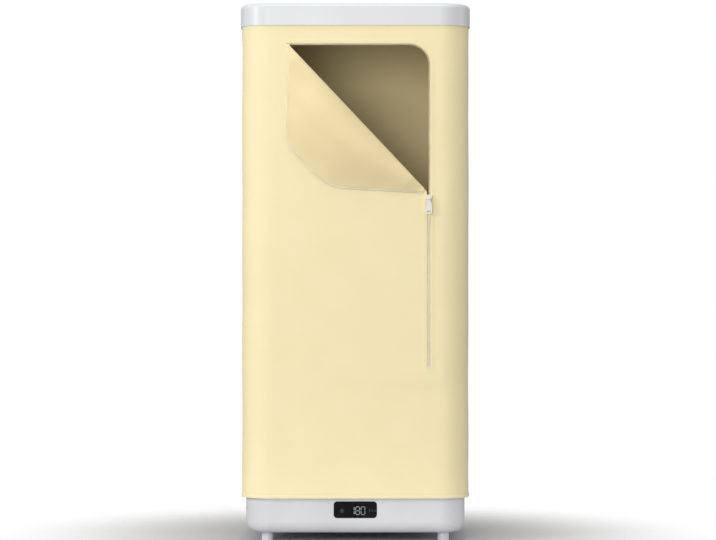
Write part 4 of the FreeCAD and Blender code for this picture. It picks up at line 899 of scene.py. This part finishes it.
def cut_flap(bm, end_x):
    """Flat pattern of the flap from the back of its roll to its free edges, as a fine grid cut to shape."""
    made = bmesh.ops.create_grid(bm, x_segments=170, y_segments=70, size=0.5)
    scale = (FOLD_LENGTH + 20 * MM, FLAP_REACH + ROLL_RUN, 1)
    bmesh.ops.scale(bm, vec=scale, verts=made["verts"])
    middle = (FOLD_LENGTH / 2, (FLAP_REACH - ROLL_RUN) / 2, 0)
    bmesh.ops.translate(bm, vec=middle, verts=made["verts"])
    outline = [Vector((p.x, p.y, 0)) for p in pattern_outline(REVEAL)]
    limits = [(start, Vector((start.y - finish.y, finish.x - start.x, 0)))
              for start, finish in zip(outline, outline[1:])]
    limits.append((Vector((-4 * MM, 0, 0)), Vector((-1, 0, 0))))
    last = Vector(((end_x - DOOR_LEFT) / FOLD_ALONG.x, 0, 0))
    limits.append((last, Vector((FOLD_ALONG.x, FOLD_AWAY.x, 0))))
    for point, normal in limits:
        geometry = bm.verts[:] + bm.edges[:] + bm.faces[:]
        bmesh.ops.bisect_plane(
            bm, geom=geometry, dist=1e-7, plane_co=point, plane_no=normal.normalized(), clear_outer=True)
    layer = bm.loops.layers.uv.new("cloth")
    for face in bm.faces:
        for loop in face.loops:
            loop[layer].uv = loop.vert.co.xy


def within(points, start, end_x):
    """The points of the pattern that lie past its start and short of the slider."""
    return [p for p in points if p.x > start and on_fold(p.x, p.y, 0).x < end_x]


def under(point, drop):
    """Place of a point of the pattern, a distance below the sheet's middle."""
    return flap_point(point.x, point.y) - flap_up(point.x, point.y) * drop


def edge_spots(points, drop):
    """(point, direction, outward direction) along a line of the pattern."""
    spots = []
    for before, after in zip(points, points[1:]):
        way = flap_point(after.x, after.y) - flap_point(before.x, before.y)
        spots.append((under(before, drop), way.normalized(), flap_up(before.x, before.y)))
    return spots


def make_flap():
    """Corner of the front, rolled back over the fold, with the other half of the zip along its edge."""
    sizes = bpy.context.scene.cabinet_sizes
    end_x = SLIDER_LOW.x - 1.7 * MM
    bm = bmesh.new()
    cut_flap(bm, end_x)
    area = sum(face.calc_area() for face in bm.faces)
    for vert in bm.verts:
        vert.co = flap_point(vert.co.x, vert.co.y, sizes.flap_ripple)
    # the cloth's outer side lies against the cover, so its normals point back and the lining shows
    bmesh.ops.recalc_face_normals(bm, faces=bm.faces[:])
    target = flap_point(FOLD_LENGTH / 2, FLAP_REACH / 2)
    middle = min(bm.faces, key=lambda f: (f.calc_center_median() - target).length)
    if middle.normal.y < 0:
        bmesh.ops.reverse_faces(bm, faces=bm.faces[:])
    # the flap shows the lining, whose deeper tone is painted shade
    flap = thickened(finished("peeled_flap", bm, cover_cloth(), lining_painted_shade()), CLOTH, 0)
    whole = split_evenly(pattern_outline(0.0), 8 * MM)
    inner = split_evenly(pattern_outline(TAPE_WIDTH), 8 * MM)
    outer = within(whole, 6 * MM, end_x)
    nearest = [min(inner, key=lambda p, q=point: (p - q).length) for point in outer]
    drop = CLOTH / 2 + 0.6 * MM
    tape_bm = bmesh.new()
    band(tape_bm, [under(p, drop) for p in outer], [under(p, drop) for p in nearest])
    bmesh.ops.remove_doubles(tape_bm, verts=tape_bm.verts[:], dist=0.05 * MM)
    bmesh.ops.recalc_face_normals(tape_bm, faces=tape_bm.faces[:])
    tape = thickened(finished("flap_tape", tape_bm, tape_cloth_painted_shade()), FLAP_TAPE, 0)
    edge = within(split_evenly(pattern_outline(COIL_OUT), sizes.tooth_pitch), 8 * MM, end_x)
    teeth = coil("flap_coil", edge_spots(edge, CLOTH / 2), 3.0 * MM, 1.5 * MM, 2.2 * MM, coil_nylon_painted_highlight())
    seam = split_evenly(pattern_outline(REVEAL + 4 * MM), SEAM_PITCH)
    seam = within(seam, 10 * MM, end_x - 2 * MM)
    stitches = stitched("flap_stitches", edge_spots(seam, -CLOTH / 2 - 0.1 * MM))
    for piece, slot in ((flap, "cover_fabric"), (tape, "zip_tape_fabric"), (teeth, "zip_teeth_nylon"),
                        (stitches, "cover_fabric")):
        bend_with_fold(piece)
    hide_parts("front_flap")
    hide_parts("zip_tape_flap")


# Bars of a seven-segment character: sideways and upward share of half its size, and whether it stands
SEGMENT_PLACES = {
    "a": (0, 1, False), "g": (0, 0, False), "d": (0, -1, False), "b": (1, 0.5, True),
    "c": (1, -0.5, True), "e": (-1, -0.5, True), "f": (-1, 0.5, True)}
SEGMENTS = {"0": "abcdef", "1": "bc", "8": "abcdefg"}
DIGIT_WIDTH = 10 * MM
DIGIT_HEIGHT = 20 * MM
DIGIT_BAR = 2.0 * MM
DIGIT_PITCH = 14 * MM
DISPLAY_Z = 83 * MM     # middle of everything that the display shows


def make_display():
    """Lit characters behind the window."""
    face = WINDOW_LOW.y - 0.04 * MM
    bm = bmesh.new()
    for index, digit in enumerate("180"):
        x = index * DIGIT_PITCH - 8 * MM
        for name in SEGMENTS[digit]:
            across, up, upright = SEGMENT_PLACES[name]
            length = (DIGIT_HEIGHT / 2 if upright else DIGIT_WIDTH) - DIGIT_BAR * 0.9
            bar_x = x + across * DIGIT_WIDTH / 2
            bar_z = DISPLAY_Z + up * DIGIT_HEIGHT / 2
            segment_bar(bm, bar_x, bar_z, face, length, DIGIT_BAR, upright)
    # digits: grey-white light, even across each bar
    digits = finished("display_digits", bm, light_segments("Lit digits", "#8d9096", 0.04))
    dim_bm = bmesh.new()
    for index in range(3):
        turn = Matrix.Rotation(math.radians(60 * index), 4, "Y")
        place = Matrix.Translation((-35 * MM, face, DISPLAY_Z)) @ turn
        made = bmesh.ops.create_cube(dim_bm, size=1)
        bmesh.ops.scale(dim_bm, vec=(13 * MM, 0.08 * MM, 1.2 * MM), verts=made["verts"])
        bmesh.ops.transform(dim_bm, matrix=place, verts=made["verts"])
    for index in range(3):
        x = (37 + 7 * index) * MM
        segment_bar(dim_bm, x, DISPLAY_Z, face, (10 - 2 * index) * MM, 1.4 * MM, True)
    # symbols: the same light turned down, so that they barely stand out from the window
    dim = finished("display_symbols", dim_bm, light_segments("Dim symbols", "#3b3c40", 0.02))
    settle("display_black", digits, dim)


# ---- Stage --------------------------------------------------------------------------------------------
FLOOR_R = 1.0
FADE_FROM = 0.3
LIGHTS = {  # place, size and power in watts
    "key": ((-4.2, -2.7, 2.3), 1.3, 90), "fill": ((-0.9, -5.4, 1.2), 2.2, 107),
    "side": ((4.6, -0.3, 1.2), 1.3, 20), "top": ((0, -0.8, 3.4), 1.2, 18)}
MIDDLE = (0, 0, 0.75)
LID_MIDDLE = (0, 0, 1.4)
EYE = (0.007, -7.24, 0.708)
LENS = 136.1
SENSOR = 36


def area_light(name, place, aim, size, power):
    """Square studio light that faces a point."""
    light = bpy.data.lights.new(name, "AREA")
    light.shape = "SQUARE"
    light.size = size
    light.energy = power
    lamp = bpy.data.objects.new(name, light)
    bpy.context.scene.collection.objects.link(lamp)
    lamp.location = place
    lamp.rotation_euler = (Vector(aim) - Vector(place)).to_track_quat("-Z", "Y").to_euler()


def studio_world():
    """White to the camera and softer to the cabinet, most of it from above and from the sides."""
    world = bpy.data.worlds.new("Studio")
    world.use_nodes = True
    tree = world.node_tree
    tree.nodes.clear()
    white = {"Color": (1, 1, 1, 1), "Strength": 1.0}
    seen = add_node(tree, "ShaderNodeBackground", white)
    way = add_node(tree, "ShaderNodeTexCoord").outputs["Generated"]
    height = add_node(tree, "ShaderNodeSeparateXYZ", links={"Vector": way})
    level = {"From Min": -0.35, "From Max": 0.1, "To Min": 0.2, "To Max": 0.5}
    strength = add_node(tree, "ShaderNodeMapRange", level, {"Value": height.outputs["Z"]})
    lit = add_node(tree, "ShaderNodeBackground", white, {"Strength": strength.outputs["Result"]})
    sight = add_node(tree, "ShaderNodeLightPath").outputs["Is Camera Ray"]
    mix = add_node(tree, "ShaderNodeMixShader", links={0: sight, 1: lit.outputs[0], 2: seen.outputs[0]})
    output = add_node(tree, "ShaderNodeOutputWorld")
    tree.links.new(mix.outputs[0], output.inputs["Surface"])
    return world


def make_stage():
    """Pale floor, studio light and the camera in front of the cabinet."""
    scene = bpy.context.scene
    bm = bmesh.new()
    bmesh.ops.create_circle(bm, cap_ends=True, segments=96, radius=FLOOR_R)
    # pale satin floor that fades into the white round the cabinet, so that no horizon shows
    floor_material, tree, shader, place = surface(
        "Pale floor", "#cfcfd0", {"Roughness": 0.7, "Specular IOR Level": 0.1})
    reach = add_node(tree, "ShaderNodeVectorMath", links={0: place}, operation="LENGTH")
    fade = {"From Min": FADE_FROM, "From Max": FLOOR_R, "To Min": 1.0, "To Max": 0.0}
    cover = add_node(
        tree, "ShaderNodeMapRange", fade, {"Value": reach.outputs["Value"]}, interpolation_type="SMOOTHSTEP")
    tree.links.new(cover.outputs["Result"], shader.inputs["Alpha"])
    finished("floor", bm, floor_material)
    scene.world = studio_world()
    for name, (place, size, power) in LIGHTS.items():
        area_light(name, place, LID_MIDDLE if name == "top" else MIDDLE, size, power)
    camera = bpy.data.cameras.new("camera")
    camera.lens = LENS
    camera.sensor_width = SENSOR
    seat = bpy.data.objects.new("camera", camera)
    scene.collection.objects.link(seat)
    seat.location = EYE
    seat.rotation_euler = (math.pi / 2, 0, 0)
    scene.camera = seat
    scene.view_settings.view_transform = "Standard"


# ---- Panel --------------------------------------------------------------------------------------------
class CabinetSizes(bpy.types.PropertyGroup):
    """Sizes that only the looks use"""
    cloth_sway: FloatProperty(
        name="Cloth sway", description="How far the cover bellies in and out", default=1.3 * MM,
        min=0.0, max=4 * MM, unit="LENGTH")
    flap_ripple: FloatProperty(
        name="Flap ripple", description="Height of the soft ripples in the peeled flap", default=1.5 * MM,
        min=0.0, max=5 * MM, unit="LENGTH")
    tooth_pitch: FloatProperty(
        name="Zip pitch", description="From one turn of the zip's coil to the next", default=2.6 * MM,
        min=1.5 * MM, max=6 * MM, unit="LENGTH")


class CabinetColours(bpy.types.PropertyGroup):
    """Main colours of the cabinet, as sRGB hex values"""
    cloth: StringProperty(name="Cover", description="Colour of the cover cloth", default="#f7e9bc")
    lid: StringProperty(name="Lid", description="Colour of the lid", default="#d9dcdc")
    base: StringProperty(name="Base", description="Colour of the base and feet", default="#d9d9dc")


class CABINET_OT_rigid(bpy.types.Operator):
    """Give the lid, base, frame, fan, heater and screws their finishes"""
    bl_idname = "cabinet.rigid"
    bl_label = "Rigid pieces"
    bl_options = {"REGISTER", "UNDO"}

    def execute(self, context):
        dress_rigid_pieces()
        return {"FINISHED"}


class CABINET_OT_cover(bpy.types.Operator):
    """Make the cover cloth with its doorway, slit and hems"""
    bl_idname = "cabinet.cover"
    bl_label = "Cover"
    bl_options = {"REGISTER", "UNDO"}

    def execute(self, context):
        make_cover()
        return {"FINISHED"}


class CABINET_OT_zip(bpy.types.Operator):
    """Make the tape and coils of the zip"""
    bl_idname = "cabinet.zip"
    bl_label = "Zip"
    bl_options = {"REGISTER", "UNDO"}

    def execute(self, context):
        make_zip()
        return {"FINISHED"}


class CABINET_OT_flap(bpy.types.Operator):
    """Make the peeled flap with its half of the zip"""
    bl_idname = "cabinet.flap"
    bl_label = "Peeled flap"
    bl_options = {"REGISTER", "UNDO"}

    def execute(self, context):
        make_flap()
        return {"FINISHED"}


class CABINET_OT_display(bpy.types.Operator):
    """Make the lit characters of the display"""
    bl_idname = "cabinet.display"
    bl_label = "Display"
    bl_options = {"REGISTER", "UNDO"}

    def execute(self, context):
        make_display()
        return {"FINISHED"}


class CABINET_OT_stage(bpy.types.Operator):
    """Make the floor, the lights and the camera"""
    bl_idname = "cabinet.stage"
    bl_label = "Stage"
    bl_options = {"REGISTER", "UNDO"}

    def execute(self, context):
        make_stage()
        return {"FINISHED"}


OPERATORS = (CABINET_OT_rigid, CABINET_OT_cover, CABINET_OT_zip, CABINET_OT_flap, CABINET_OT_display,
             CABINET_OT_stage)


class CABINET_PT_pieces(bpy.types.Panel):
    """Lists the pieces of the cabinet"""
    bl_label = "Drying cabinet"
    bl_space_type = "VIEW_3D"
    bl_region_type = "UI"
    bl_category = "Cabinet"

    def draw(self, context):
        for group in (context.scene.cabinet_sizes, context.scene.cabinet_colours):
            for name in group.__annotations__:
                self.layout.prop(group, name)
        for operator in OPERATORS:
            self.layout.operator(operator.bl_idname)


CLASSES = (CabinetSizes, CabinetColours, *OPERATORS, CABINET_PT_pieces)


def register():
    for item in CLASSES:
        bpy.utils.register_class(item)
    bpy.types.Scene.cabinet_sizes = PointerProperty(type=CabinetSizes)
    bpy.types.Scene.cabinet_colours = PointerProperty(type=CabinetColours)


def unregister():
    del bpy.types.Scene.cabinet_colours
    del bpy.types.Scene.cabinet_sizes
    for item in reversed(CLASSES):
        bpy.utils.unregister_class(item)


def main():
    register()
    for operator in (bpy.ops.cabinet.rigid, bpy.ops.cabinet.cover, bpy.ops.cabinet.zip, bpy.ops.cabinet.flap,
                     bpy.ops.cabinet.display, bpy.ops.cabinet.stage):
        if operator() != {"FINISHED"}:
            raise RuntimeError("a piece of the cabinet could not be made")


if __name__ == "__main__":
    main()
